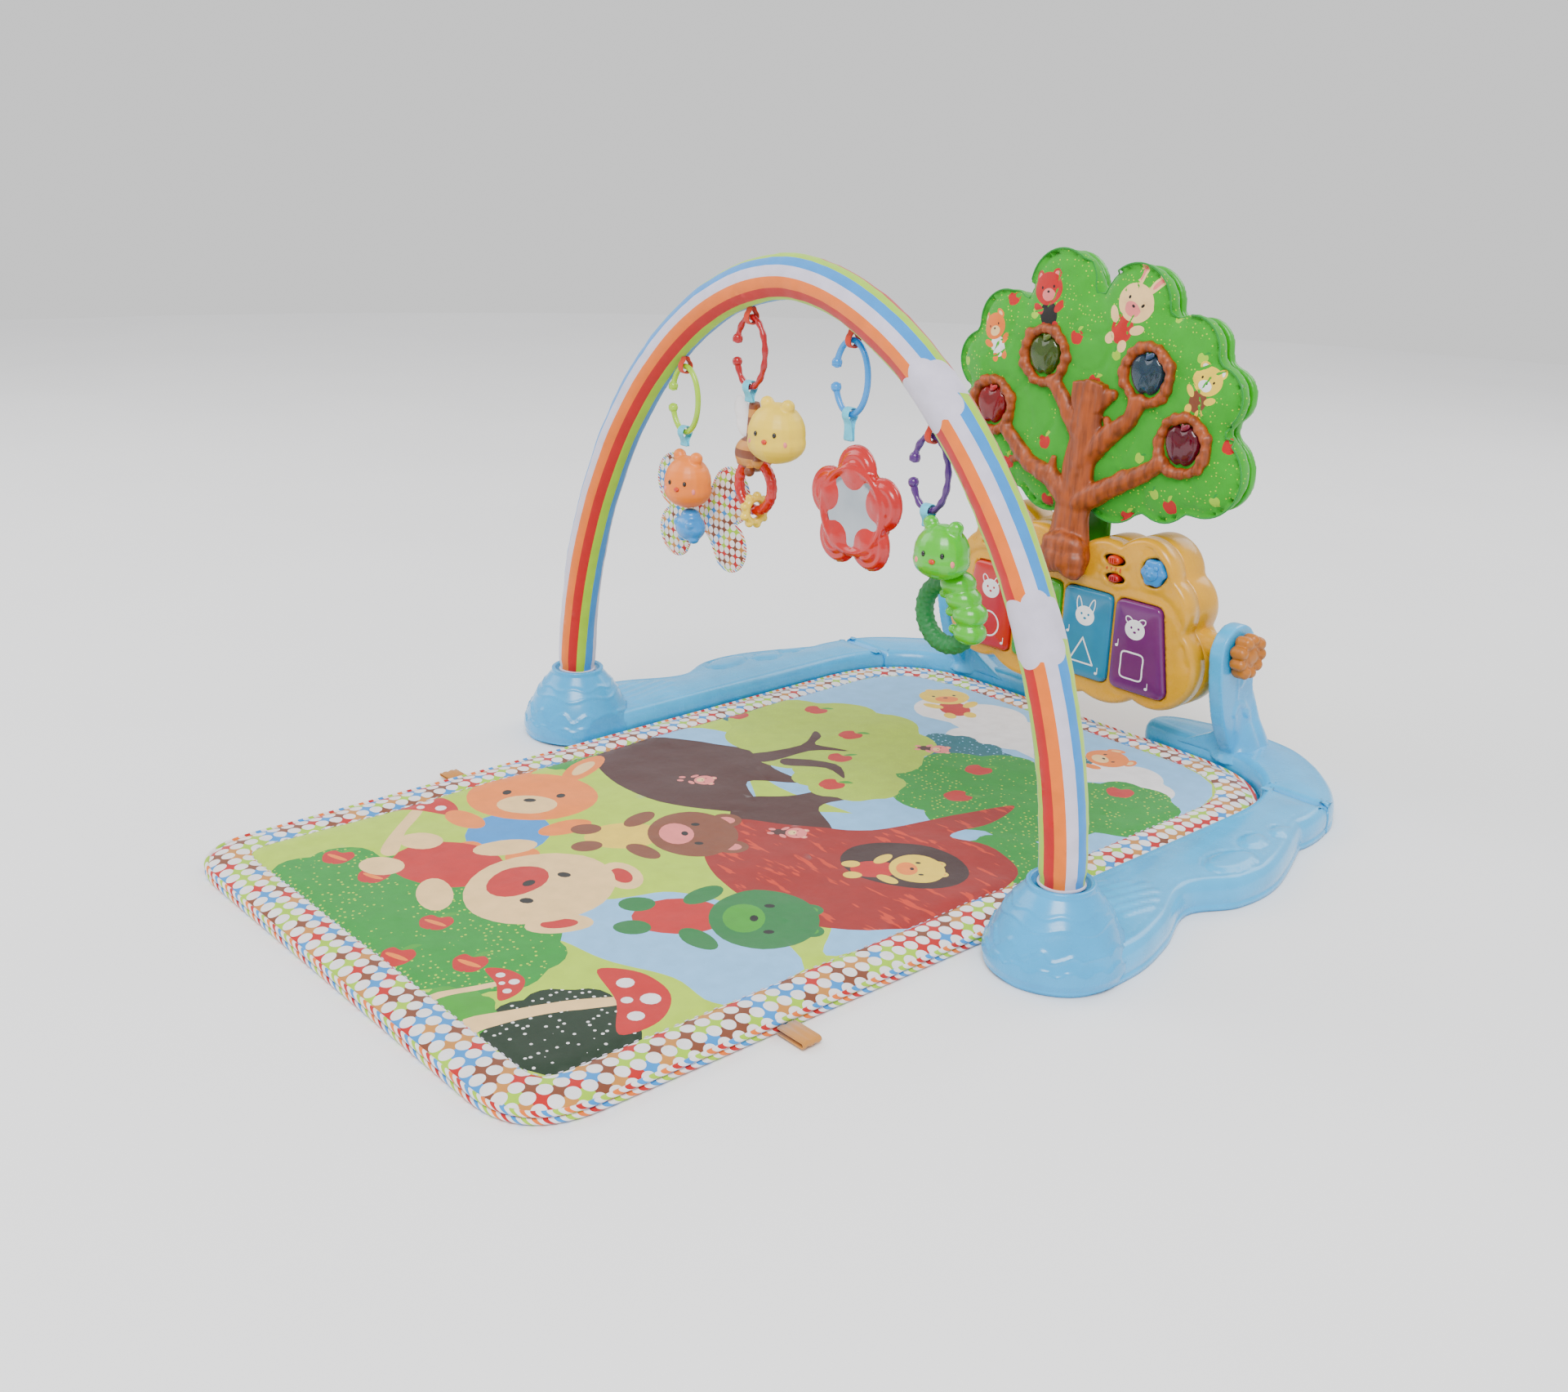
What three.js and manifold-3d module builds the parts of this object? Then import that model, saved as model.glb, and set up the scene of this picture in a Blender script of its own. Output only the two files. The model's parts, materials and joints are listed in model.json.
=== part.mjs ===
// Baby activity play gym. A padded floor mat lies between two low base wings. A soft striped
// arch stands in a socket at the front of each wing and carries four hanging toys. At the head
// end two uprights hold a tilting toy piano, and a tree with glowing apples is plugged into it.
//
// Units are millimetres. +X is to the right seen from the foot end, +Y runs to the head end and
// +Z is up. The origin is on the floor, under the centre of the whole gym.

import * as THREE from 'three';
import { mergeVertices } from 'three/addons/utils/BufferGeometryUtils.js';
import Module from 'manifold-3d';

const wasm = await Module();
wasm.setup();

// ---------------------------------------------------------------- driving dimensions
const GAP = 0.4; // clearance between pieces that touch

const ARCH_Y = -30; // upright plane of the arch and its toys
const ARCH_HALF_SPAN = 295; // centreline of each leg at its socket
const ARCH_RIM_Z = 63; // where the arch leaves its sockets
const ARCH_RISE = 387; // from the sockets to the top of the centreline
const ARCH_SIDE_POWER = 1.077; // how square the shoulders of the arch are
const ARCH_TOP_POWER = 1.094;
const SLEEVE_RADIUS = 17.5;
const SLEEVE_BORE_RADIUS = 13.5;
const TUBE_RADIUS = 10;
const TUBE_BORE_RADIUS = 8;
const TUBE_FOOT_Z = 10;
const JOINER_RADIUS = 5.8;

const MAT_HALF_WIDTH = 246;
const MAT_FOOT_HALF_WIDTH = 240; // the mat tapers a little towards the foot end
const MAT_FOOT_Y = -440;
const MAT_HEAD_Y = 375;
const MAT_FOOT_CORNER = 58;
const MAT_HEAD_CORNER = 118;
const MAT_THICKNESS = 11;
const MAT_EDGE_ROUND = 3;

const BASE_HEIGHT = 27;
const BASE_ROUND = 7;
const WALL = 2.6; // thickness of every plastic shell
const BASE_MAT_GAP = 3.5;
const SEAM_Y = 330; // joint between a wing and the upright behind it
const SOCKET_OUTER_RADIUS = 14;
const SOCKET_BORE_RADIUS = 10.9;
const COLLAR_BORE_RADIUS = 20.4;
const COLLAR_FLOOR_Z = 58;
const COLLAR_TOP_Z = 65;

const PIVOT_Y = 364; // tilt axis of the piano
const PIVOT_Z = 123;
const POST_INNER_X = 158;
const POST_THICKNESS = 17;
const POST_TOP_RADIUS = 27;
const POST_BORE_RADIUS = 8.8;
const TRUNNION_RADIUS = 8;
const KNOB_RADIUS = 23;
const KNOB_THICKNESS = 15;
const KNOB_SHAFT_RADIUS = 7;

const PIANO_FRONT_Y = 330;
const PIANO_SPLIT_Y = 350;
const PIANO_REAR_Y = 384;
const PIANO_BOTTOM_Z = 48;
const PIANO_ROUND = 5;
const KEY_BOTTOM_Z = 70;
const KEY_TOP_Z = 156;
const KEY_PROUD = 5; // how far a key stands out of the casing
const KEY_FLANGE = 1.6; // how far its hidden flange overlaps the window's edge
const KEY_CLEARANCE = 0.8;

const TREE_FRONT_Y = 335;
const TREE_THICKNESS = 26;
const TREE_RELIEF = 14; // how far the trunk stands out in front of the foliage
const NEST_RADIUS = 30;
const LENS_RADIUS = 19;

// Keys from left to right: the inner and outer edge at the top, then at the bottom.
const KEYS = [
  { name: 'key_red', colour: 'red', top: [-113, -62], bottom: [-124, -62] },
  { name: 'key_green', colour: 'green', top: [-58, -2], bottom: [-58, -2] },
  { name: 'key_blue', colour: 'teal', top: [2, 58], bottom: [2, 58] },
  { name: 'key_purple', colour: 'purple', top: [62, 113], bottom: [62, 124] },
];
const MUSIC_BUTTON = { x: 97, z: 186, radius: 13 };
// Each slider can move 4 mm either way; its window is 5 mm longer than the cap at each end.
const VOLUME_SWITCH = { x: 53, z: 189, halfLength: 7, halfHeight: 4.5, slack: 5 };
const MODE_SWITCH = { x: 55, z: 172, halfLength: 6, halfHeight: 4, slack: 5 };
const BATTERY_BAY = { halfWidth: 46, bottom: 78, top: 138 };

const TONGUE = { halfWidth: 20, y1: 361.5, y2: 368 }; // plugs the tree into the piano
const NESTS = [
  { name: 'apple_lens_red', colour: 'crimson', x: -108, z: 310 },
  { name: 'apple_lens_olive', colour: 'olive', x: -48, z: 364 },
  { name: 'apple_lens_blue', colour: 'slate', x: 68, z: 360 },
  { name: 'apple_lens_magenta', colour: 'magenta', x: 112, z: 304 },
];

const LINK_HALF_WIDTH = 17;
const LINK_HALF_HEIGHT = 27;
const LINK_WIRE_RADIUS = 2.4;
const LINK_BALL_RADIUS = 4.4;
const LOOP_BORE_RADIUS = 4.6;
const LOOP_OUTER_RADIUS = 6.2;
const LOOP_WIDTH = 6;
const RIBBON_BORE_RADIUS = 4.6;
const RIBBON_OUTER_RADIUS = 6.2;
const RIBBON_WIDTH = 9;
const RIBBON_THICKNESS = 1.8;
const WING_THICKNESS = 3; // the butterfly's padded wings

// ---------------------------------------------------------------- colours
const COLOURS = {
  sky: 0x52b3dc, ochre: 0xeab12d, bark: 0x9c5327, foliage: 0x5fb548, mat: 0xbfd95a,
  rainbow: 0xe39a3b, white: 0xf4f4f0, ribbon: 0x8cc8e2, rust: 0xd9662a, tan: 0xd9ad72,
  lime: 0xa9cf3b, crimson: 0xc12742, azure: 0x4ea7cf, violet: 0x7d4b98, orange: 0xf0a04c,
  yellow: 0xf3dc6e, red: 0xd8232f, teal: 0x1f9bb8, purple: 0x8d3a86, green: 0x79c143,
  darkGreen: 0x2f9e5d, steel: 0xb9bcc0, mirror: 0xdfe4e6, board: 0x2f7a45,
  wood: 0xd08c3f, olive: 0x8a8a3a, slate: 0x5f6f92, magenta: 0x9c2c5c, patterned: 0xe9e2dc,
};

const plastic = (colour) => new THREE.MeshStandardMaterial({
  color: COLOURS[colour], roughness: 0.3, metalness: 0,
});
const fabric = (colour) => new THREE.MeshStandardMaterial({
  color: COLOURS[colour], roughness: 0.95, metalness: 0,
});
const metal = (colour) => new THREE.MeshStandardMaterial({
  color: COLOURS[colour], roughness: 0.25, metalness: 1,
});

// ---------------------------------------------------------------- solids
function toSolid(geometry) {
  const bare = geometry.clone();
  bare.deleteAttribute('normal');
  bare.deleteAttribute('uv');
  const welded = mergeVertices(bare, 1e-3);
  return new wasm.Manifold(new wasm.Mesh({
    numProp: 3,
    vertProperties: new Float32Array(welded.attributes.position.array),
    triVerts: new Uint32Array(welded.index.array),
  }));
}

function toGeometry(solid) {
  const result = solid.getMesh();
  const geometry = new THREE.BufferGeometry();
  geometry.setAttribute('position', new THREE.BufferAttribute(result.vertProperties, 3));
  geometry.setIndex(new THREE.BufferAttribute(result.triVerts, 1));
  geometry.computeVertexNormals();
  return geometry;
}

function join(...geometries) {
  return toGeometry(geometries.map(toSolid).reduce((sum, next) => sum.add(next)));
}

function cut(geometry, ...tools) {
  return toGeometry(tools.map(toSolid).reduce((rest, tool) => rest.subtract(tool), toSolid(geometry)));
}

function mirrored(geometry) {
  const copy = geometry.clone().scale(-1, 1, 1);
  const index = copy.index ? [...copy.index.array] : [...copy.attributes.position.array.keys()]
    .slice(0, copy.attributes.position.count);
  for (let i = 0; i < index.length; i += 3) {
    [index[i], index[i + 1]] = [index[i + 1], index[i]];
  }
  copy.setIndex(index);
  copy.computeVertexNormals();
  return copy;
}

function box(x1, y1, z1, x2, y2, z2) {
  const geometry = new THREE.BoxGeometry(x2 - x1, y2 - y1, z2 - z1);
  return geometry.translate((x1 + x2) / 2, (y1 + y2) / 2, (z1 + z2) / 2);
}

// A rod along +X (axis 'x') or +Y (axis 'y'), starting at the given point.
function rod(axis, x, y, z, radius, length, sides = 12) {
  const geometry = new THREE.CylinderGeometry(radius, radius, length, sides);
  if (axis === 'x') {
    return geometry.rotateZ(Math.PI / 2).translate(x + length / 2, y, z);
  }
  return geometry.translate(x, y + length / 2, z);
}

function ellipsoid(x, y, z, rx, ry, rz, around = 10, along = 7) {
  const geometry = new THREE.SphereGeometry(1, around, along);
  return geometry.rotateX(Math.PI / 2).scale(rx, ry, rz).translate(x, y, z);
}

function ringAround(x, y, z, radius, tube, around = 18, section = 6) {
  return new THREE.TorusGeometry(radius, tube, section, around).rotateX(Math.PI / 2).translate(x, y, z);
}

// ---------------------------------------------------------------- outlines
const outlineOf = (shape, divisions) => {
  const points = shape.getPoints(divisions);
  const distinct = points.filter((point, i) => point.distanceTo(points.at(i - 1)) > 0.05);
  return THREE.ShapeUtils.isClockWise(distinct) ? distinct.reverse() : distinct;
};

// Moves every corner of a counter-clockwise outline inwards by the same wall thickness.
function inset(points, distance) {
  return points.map((point, i) => {
    const before = points.at(i - 1);
    const after = points[(i + 1) % points.length];
    const inDir = new THREE.Vector2().subVectors(point, before).normalize();
    const outDir = new THREE.Vector2().subVectors(after, point).normalize();
    const bisector = new THREE.Vector2(-inDir.y - outDir.y, inDir.x + outDir.x).normalize();
    const stretch = Math.max(0.6, bisector.dot(new THREE.Vector2(-inDir.y, inDir.x)));
    return point.clone().addScaledVector(bisector, distance / stretch);
  });
}

// The outer edge of a cloud of circles [x, z, radius], followed round a centre inside them.
function cloud(centre, lobes, count, floor = -Infinity) {
  const [cx, cz] = centre;
  return Array.from({ length: count }, (_, i) => {
    const angle = (2 * Math.PI * i) / count;
    const dx = Math.cos(angle);
    const dz = Math.sin(angle);
    const reach = lobes.map(([x, z, r]) => {
      const along = (x - cx) * dx + (z - cz) * dz;
      const aside = (x - cx) * dz - (z - cz) * dx;
      return Math.abs(aside) < r ? along + Math.sqrt(r * r - aside * aside) : 0;
    });
    const far = Math.max(...reach);
    return new THREE.Vector2(cx + dx * far, Math.max(cz + dz * far, floor));
  });
}

const bothSides = (lobes) => [...lobes, ...lobes.map(([x, z, r]) => [-x, z, r])];

function circle(x, y, radius, count) {
  return Array.from({ length: count }, (_, i) => {
    const angle = (2 * Math.PI * i) / count;
    return new THREE.Vector2(x + radius * Math.cos(angle), y + radius * Math.sin(angle));
  });
}

// A flat plate with rounded rims, lying between local z = 0 and its thickness.
function plate(outline, thickness, round = 0, steps = 2, holes = []) {
  const shape = new THREE.Shape(outline);
  shape.holes = holes.map((hole) => new THREE.Path(hole));
  const geometry = new THREE.ExtrudeGeometry(shape, {
    depth: thickness - 2 * round,
    bevelEnabled: round > 0,
    bevelThickness: round,
    bevelSize: round,
    bevelOffset: -round,
    bevelSegments: steps,
  });
  return geometry.translate(0, 0, round);
}

// The same plate with only its upper rim rounded, and a sharp lower edge.
function crown(outline, height, round, steps = 2) {
  const tall = plate(outline, height + round, round, steps).translate(0, 0, -round);
  const reach = 2000;
  return cut(tall, box(-reach, -reach, -reach, reach, reach, 0));
}

// Stand a flat piece up so that it faces the foot end, with its back at the given y.
const facingFoot = (geometry, y) => geometry.rotateX(Math.PI / 2).translate(0, y, 0);
const facingHead = (geometry, y) => geometry.rotateX(Math.PI / 2).rotateZ(Math.PI).translate(0, y, 0);

// ---------------------------------------------------------------- base wings and uprights
// The edge that follows the mat's rounded head corner, from the seam to one of its ends.
function besideMatCorner(towardsHead) {
  const side = MAT_HALF_WIDTH + BASE_MAT_GAP;
  const head = MAT_HEAD_Y + BASE_MAT_GAP;
  const start = MAT_HEAD_Y - MAT_HEAD_CORNER;
  const seamT = 1 - Math.sqrt(1 - (SEAM_Y - start) / (head - start));
  const steps = 4;
  const seamGap = towardsHead ? GAP : -GAP;
  return Array.from({ length: steps + 1 }, (_, i) => {
    const t = seamT + ((towardsHead ? 1 : 0) - seamT) * (i / steps);
    const x = side - (MAT_HEAD_CORNER + BASE_MAT_GAP) * t * t;
    const y = start + (head - start) * (2 * t - t * t);
    return new THREE.Vector2(x, i === 0 ? y + seamGap : y);
  });
}

function wingOutline() {
  const inner = MAT_HALF_WIDTH + BASE_MAT_GAP;
  const shape = new THREE.Shape();
  shape.moveTo(inner, -40);
  shape.splineThru([new THREE.Vector2(268, -68), new THREE.Vector2(303, -79)]);
  shape.splineThru([new THREE.Vector2(338, -55), new THREE.Vector2(344, 0)]);
  shape.splineThru([new THREE.Vector2(333, 52), new THREE.Vector2(313, 106)]);
  shape.splineThru([new THREE.Vector2(331, 150), new THREE.Vector2(330, 205), new THREE.Vector2(303, 282)]);
  shape.quadraticCurveTo(306, 300, 299, SEAM_Y - GAP);
  for (const point of besideMatCorner(false)) {
    shape.lineTo(point.x, point.y);
  }
  return outlineOf(shape, 2);
}

function domeProfile(offset, bottom, top) {
  const radii = [[46, 0], [46, 12], [42, 28], [33, 47], [23.6, 60]];
  const sides = radii.map(([r, z]) => new THREE.Vector2(r - offset, Math.max(bottom, z - offset * 0.6)));
  const collar = new THREE.Vector2(23.6 - offset, top);
  return [new THREE.Vector2(0, bottom), ...sides, collar, new THREE.Vector2(0, top)];
}

const upright = (points, segments) => new THREE.LatheGeometry(points, segments).rotateX(Math.PI / 2);

function turned(points, x, y, segments = 12) {
  return upright(points, segments).translate(x, y, 0);
}

function tubeStub(x, y, bottom, top, radius, sides = 12) {
  const points = [[0, bottom], [radius, bottom], [radius, top], [0, top]];
  return turned(points.map(([r, z]) => new THREE.Vector2(r, z)), x, y, sides);
}

function baseWing() {
  const outline = wingOutline();
  const at = [ARCH_HALF_SPAN, ARCH_Y];
  const dome = turned(domeProfile(0, 0, COLLAR_TOP_Z), ...at);
  const skin = join(crown(outline, BASE_HEIGHT, BASE_ROUND), dome);
  const hollow = crown(inset(outline, WALL), BASE_HEIGHT - WALL, BASE_ROUND - WALL).translate(0, 0, -GAP);
  const domeHollow = turned(domeProfile(WALL, -GAP, COLLAR_FLOOR_Z - WALL), ...at);
  const shell = cut(skin, hollow, domeHollow);
  const socket = tubeStub(...at, TUBE_FOOT_Z - 5, COLLAR_FLOOR_Z, SOCKET_OUTER_RADIUS);
  const bore = tubeStub(...at, TUBE_FOOT_Z - 1, COLLAR_TOP_Z + 1, SOCKET_BORE_RADIUS);
  const recess = tubeStub(...at, COLLAR_FLOOR_Z, COLLAR_TOP_Z + 1, COLLAR_BORE_RADIUS);
  return cut(join(shell, socket), bore, recess);
}

function uprightOutline() {
  const shape = new THREE.Shape();
  shape.moveTo(299, SEAM_Y + GAP);
  shape.quadraticCurveTo(294, 366, 243, 410);
  const headEdge = [[205, 433], [150, 439.6], [100, 427]].map(([x, y]) => new THREE.Vector2(x, y));
  shape.splineThru(headEdge);
  shape.quadraticCurveTo(66, 418, 66, 396);
  shape.quadraticCurveTo(66, 381, 82, 381);
  for (const point of besideMatCorner(true).reverse()) {
    shape.lineTo(point.x, point.y);
  }
  return outlineOf(shape, 2);
}

// The post seen from the side, in (y, z): it leans out over the mat's rounded corner.
function postProfile(offset) {
  const frontY = MAT_HEAD_Y + 8;
  const shape = new THREE.Shape();
  shape.moveTo(frontY + offset, 0);
  shape.lineTo(frontY + offset, 14);
  shape.quadraticCurveTo(344 + offset, 50, PIVOT_Y - POST_TOP_RADIUS + offset, PIVOT_Z);
  shape.absarc(PIVOT_Y, PIVOT_Z, POST_TOP_RADIUS - offset, Math.PI, 0, true);
  shape.quadraticCurveTo(398 - offset, 50, 432 - offset, 0);
  return outlineOf(shape, 4);
}

// The web that braces the post against the foot, behind the piano's lower edge.
function brace(offset) {
  const outline = [[100, 0], [POST_INNER_X + 6, 0], [POST_INNER_X + 6, 92], [132, 48], [100, 22]]
    .map(([x, z]) => new THREE.Vector2(x, z));
  return facingFoot(plate(inset(outline, offset), 22 - 2 * offset), 424 - offset);
}

// A shape drawn in (y, z) and given its thickness along +X.
function sideways(geometry, x) {
  const basis = new THREE.Matrix4().makeBasis(
    new THREE.Vector3(0, 1, 0),
    new THREE.Vector3(0, 0, 1),
    new THREE.Vector3(1, 0, 0),
  );
  return geometry.applyMatrix4(basis).translate(x, 0, 0);
}

function baseUpright() {
  const outline = uprightOutline();
  const post = sideways(plate(postProfile(0), POST_THICKNESS, 4, 1), POST_INNER_X);
  const skin = join(crown(outline, BASE_HEIGHT, BASE_ROUND), post, brace(0));
  const hollow = crown(inset(outline, WALL), BASE_HEIGHT - WALL, BASE_ROUND - WALL).translate(0, 0, -GAP);
  const core = sideways(plate(postProfile(WALL), POST_THICKNESS - 2 * WALL), POST_INNER_X + WALL);
  const boss = rod('x', POST_INNER_X, PIVOT_Y, PIVOT_Z, POST_BORE_RADIUS + WALL, POST_THICKNESS, 12);
  const bore = rod('x', POST_INNER_X - 1, PIVOT_Y, PIVOT_Z, POST_BORE_RADIUS, POST_THICKNESS + 2, 12);
  const shell = cut(skin, hollow, core.translate(0, 0, -GAP), brace(WALL).translate(0, 0, -WALL - GAP));
  return cut(join(shell, boss), bore);
}

// ---------------------------------------------------------------- mat
function matOutline() {
  const w = MAT_HALF_WIDTH;
  const foot = MAT_FOOT_HALF_WIDTH;
  const shape = new THREE.Shape();
  shape.moveTo(-foot + MAT_FOOT_CORNER, MAT_FOOT_Y);
  shape.lineTo(foot - MAT_FOOT_CORNER, MAT_FOOT_Y);
  shape.quadraticCurveTo(foot, MAT_FOOT_Y, foot, MAT_FOOT_Y + MAT_FOOT_CORNER);
  shape.lineTo(w, MAT_HEAD_Y - MAT_HEAD_CORNER);
  shape.quadraticCurveTo(w, MAT_HEAD_Y, w - MAT_HEAD_CORNER, MAT_HEAD_Y);
  shape.lineTo(-w + MAT_HEAD_CORNER, MAT_HEAD_Y);
  shape.quadraticCurveTo(-w, MAT_HEAD_Y, -w, MAT_HEAD_Y - MAT_HEAD_CORNER);
  shape.lineTo(-foot, MAT_FOOT_Y + MAT_FOOT_CORNER);
  shape.quadraticCurveTo(-foot, MAT_FOOT_Y, -foot + MAT_FOOT_CORNER, MAT_FOOT_Y);
  return outlineOf(shape, 6);
}

const playMat = () => plate(matOutline(), MAT_THICKNESS, MAT_EDGE_ROUND, 1);

// A folded ribbon tab that sticks out of the mat's side.
function matTab(side, y) {
  const outer = MAT_HALF_WIDTH + GAP;
  const tab = box(outer, y - 9, 2, outer + 22, y + 9, 5);
  return side > 0 ? tab : mirrored(tab);
}

// ---------------------------------------------------------------- arch
// Centreline of the arch: t = 0 is the right-hand rim, 0.5 the top and 1 the left-hand rim.
function archPoint(t) {
  const angle = Math.PI * t;
  const side = Math.sign(Math.cos(angle)) * Math.abs(Math.cos(angle)) ** ARCH_SIDE_POWER;
  const lift = Math.abs(Math.sin(angle)) ** ARCH_TOP_POWER;
  return new THREE.Vector3(ARCH_HALF_SPAN * side, ARCH_Y, ARCH_RIM_Z + ARCH_RISE * lift);
}

class ArchCurve extends THREE.Curve {
  constructor(from, to, footZ) {
    super();
    this.from = from;
    this.to = to;
    this.footZ = footZ;
  }

  // The first tenth is the straight foot, if there is one, and the rest follows the arch.
  getPoint(u) {
    const straight = this.footZ === undefined ? 0 : 0.12;
    if (u < straight) {
      const rim = archPoint(this.from);
      return rim.setZ(this.footZ + (ARCH_RIM_Z - this.footZ) * (u / straight));
    }
    return archPoint(this.from + (this.to - this.from) * ((u - straight) / (1 - straight)));
  }
}

function tubeAlong(curve, outer, bore, sides, steps) {
  const shape = new THREE.Shape(circle(0, 0, outer, sides));
  if (bore > 0) {
    shape.holes = [new THREE.Path(circle(0, 0, bore, 6))];
  }
  return new THREE.ExtrudeGeometry(shape, { steps, extrudePath: curve });
}

function archTube() {
  const halfGap = 0.002;
  return tubeAlong(new ArchCurve(0, 0.5 - halfGap, TUBE_FOOT_Z), TUBE_RADIUS, TUBE_BORE_RADIUS, 6, 13);
}

const archJoiner = () => tubeAlong(new ArchCurve(0.46, 0.54), JOINER_RADIUS, 0, 6, 3);

const archSleeve = () => tubeAlong(new ArchCurve(0, 1), SLEEVE_RADIUS, SLEEVE_BORE_RADIUS, 10, 24);

// Height of the sleeve's underside straight below the arch's centreline at x.
function sleeveUnderside(x) {
  const samples = Array.from({ length: 401 }, (_, i) => archPoint(i / 400));
  const below = samples
    .filter((p) => Math.abs(p.x - x) < SLEEVE_RADIUS)
    .map((p) => p.z - Math.sqrt(SLEEVE_RADIUS ** 2 - (p.x - x) ** 2));
  return Math.min(...below);
}

// ---------------------------------------------------------------- hanging hardware
// The height of a link's top bar when its loop is sewn to the sleeve at x.
function hangHeight(x) {
  const lowest = Math.min(sleeveUnderside(x - LOOP_WIDTH / 2), sleeveUnderside(x + LOOP_WIDTH / 2));
  return lowest - GAP - LOOP_OUTER_RADIUS;
}

function toyLoop(x) {
  const bore = circle(0, 0, LOOP_BORE_RADIUS, 10);
  const band = plate(circle(0, 0, LOOP_OUTER_RADIUS, 10), LOOP_WIDTH, 0, 1, [bore]);
  return sideways(band, x - LOOP_WIDTH / 2).translate(0, ARCH_Y, hangHeight(x));
}

class LinkCurve extends THREE.Curve {
  // An upright oval that starts at the upper ball on one side and ends at the lower one.
  getPoint(u) {
    const angle = THREE.MathUtils.degToRad(168 - 342 * u + 6 * u);
    return new THREE.Vector3(LINK_HALF_WIDTH * Math.cos(angle), 0, LINK_HALF_HEIGHT * Math.sin(angle));
  }
}

// A split link that hangs with its top bar at the origin, open towards -X.
function splitLink() {
  const curve = new LinkCurve();
  const wire = tubeAlong(curve, LINK_WIRE_RADIUS, 0, 6, 14);
  const balls = [0, 1].map((u) => {
    const end = curve.getPoint(u);
    return ellipsoid(end.x, 0, end.z, LINK_BALL_RADIUS, LINK_BALL_RADIUS, LINK_BALL_RADIUS, 6, 4);
  });
  return join(wire, ...balls).translate(0, 0, -LINK_HALF_HEIGHT);
}

// A ribbon looped round a bar at the origin, with its tail reaching down by the given length.
function hangingRibbon(length) {
  const shape = new THREE.Shape();
  const half = RIBBON_THICKNESS / 2;
  const tailAngle = Math.asin(half / RIBBON_OUTER_RADIUS);
  shape.absarc(0, 0, RIBBON_OUTER_RADIUS, -Math.PI / 2 + tailAngle, 1.5 * Math.PI - tailAngle, false);
  shape.lineTo(-half, -length);
  shape.lineTo(half, -length);
  const outline = outlineOf(shape, 10);
  const band = plate(outline, RIBBON_WIDTH, 0, 1, [circle(0, 0, RIBBON_BORE_RADIUS, 10)]);
  return sideways(band, -RIBBON_WIDTH / 2);
}

// ---------------------------------------------------------------- toys
// Each toy is drawn about the point where its ribbon ends, and hangs below it.
function earedHead(radius, height, earSpread) {
  const skull = ellipsoid(0, 0, -height, radius, radius * 0.92, height, 10, 6);
  const ears = [-1, 1].map((side) => ellipsoid(side * earSpread, 0, -height * 0.22, 7, 6, 8, 6, 4));
  return join(skull, ...ears);
}

function butterflyWings() {
  const lobes = bothSides([[38, -12, 24], [36, -56, 22], [20, -34, 22]]);
  return facingFoot(plate(cloud([0, -34], lobes, 28), WING_THICKNESS, 1, 1), 0);
}

function beeBody(ringCentre, ringRadius, ringTube) {
  const body = ellipsoid(-4, 6, -42, 20, 15, 16, 10, 6);
  return cut(body, ringAround(...ringCentre, ringRadius, ringTube + GAP));
}

function gearBead(bore, root, tip, teeth, width) {
  const points = Array.from({ length: teeth * 2 }, (_, i) => {
    const radius = i % 2 ? root : tip;
    const angle = (Math.PI * i) / teeth;
    return new THREE.Vector2(radius * Math.cos(angle), radius * Math.sin(angle));
  });
  return plate(points, width, 1.5, 1, [circle(0, 0, bore, 10)]);
}

function flowerFrame(radius, mirrorRadius, thickness) {
  const petals = Array.from({ length: 5 }, (_, i) => {
    const angle = Math.PI / 2 + (2 * Math.PI * i) / 5;
    return [radius * 0.6 * Math.cos(angle), radius * 0.6 * Math.sin(angle), radius * 0.4];
  });
  const body = plate(cloud([0, 0], [...petals, [0, 0, radius * 0.6]], 35), thickness, 4, 1);
  const recess = plate(circle(0, 0, mirrorRadius + GAP, 16), 6).translate(0, 0, thickness - 4);
  return cut(body, recess);
}

const flowerMirror = (mirrorRadius, thickness) => plate(circle(0, 0, mirrorRadius, 16), 3)
  .translate(0, 0, thickness - 3.6);

// ---------------------------------------------------------------- piano
const PIANO_LOBES = bothSides([
  [84, 179, 36], [104, 152, 34], [104, 102, 46], [50, 104, 56], [42, 160, 46], [0, 140, 50], [0, 112, 66],
]);
const pianoOutline = () => cloud([0, 130], PIANO_LOBES, 42, PIANO_BOTTOM_Z);

function keyOutline(key, grow) {
  const corner = 8;
  const [tl, tr] = key.top;
  const [bl, br] = key.bottom;
  const shape = new THREE.Shape();
  shape.moveTo(bl + corner, KEY_BOTTOM_Z);
  shape.lineTo(br - corner, KEY_BOTTOM_Z);
  shape.quadraticCurveTo(br, KEY_BOTTOM_Z, br, KEY_BOTTOM_Z + corner);
  shape.lineTo(tr, KEY_TOP_Z - corner);
  shape.quadraticCurveTo(tr, KEY_TOP_Z, tr - corner, KEY_TOP_Z);
  shape.lineTo(tl + corner, KEY_TOP_Z);
  shape.quadraticCurveTo(tl, KEY_TOP_Z, tl, KEY_TOP_Z - corner);
  shape.lineTo(bl, KEY_BOTTOM_Z + corner);
  shape.quadraticCurveTo(bl, KEY_BOTTOM_Z, bl + corner, KEY_BOTTOM_Z);
  return inset(outlineOf(shape, 2), -grow);
}

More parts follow.
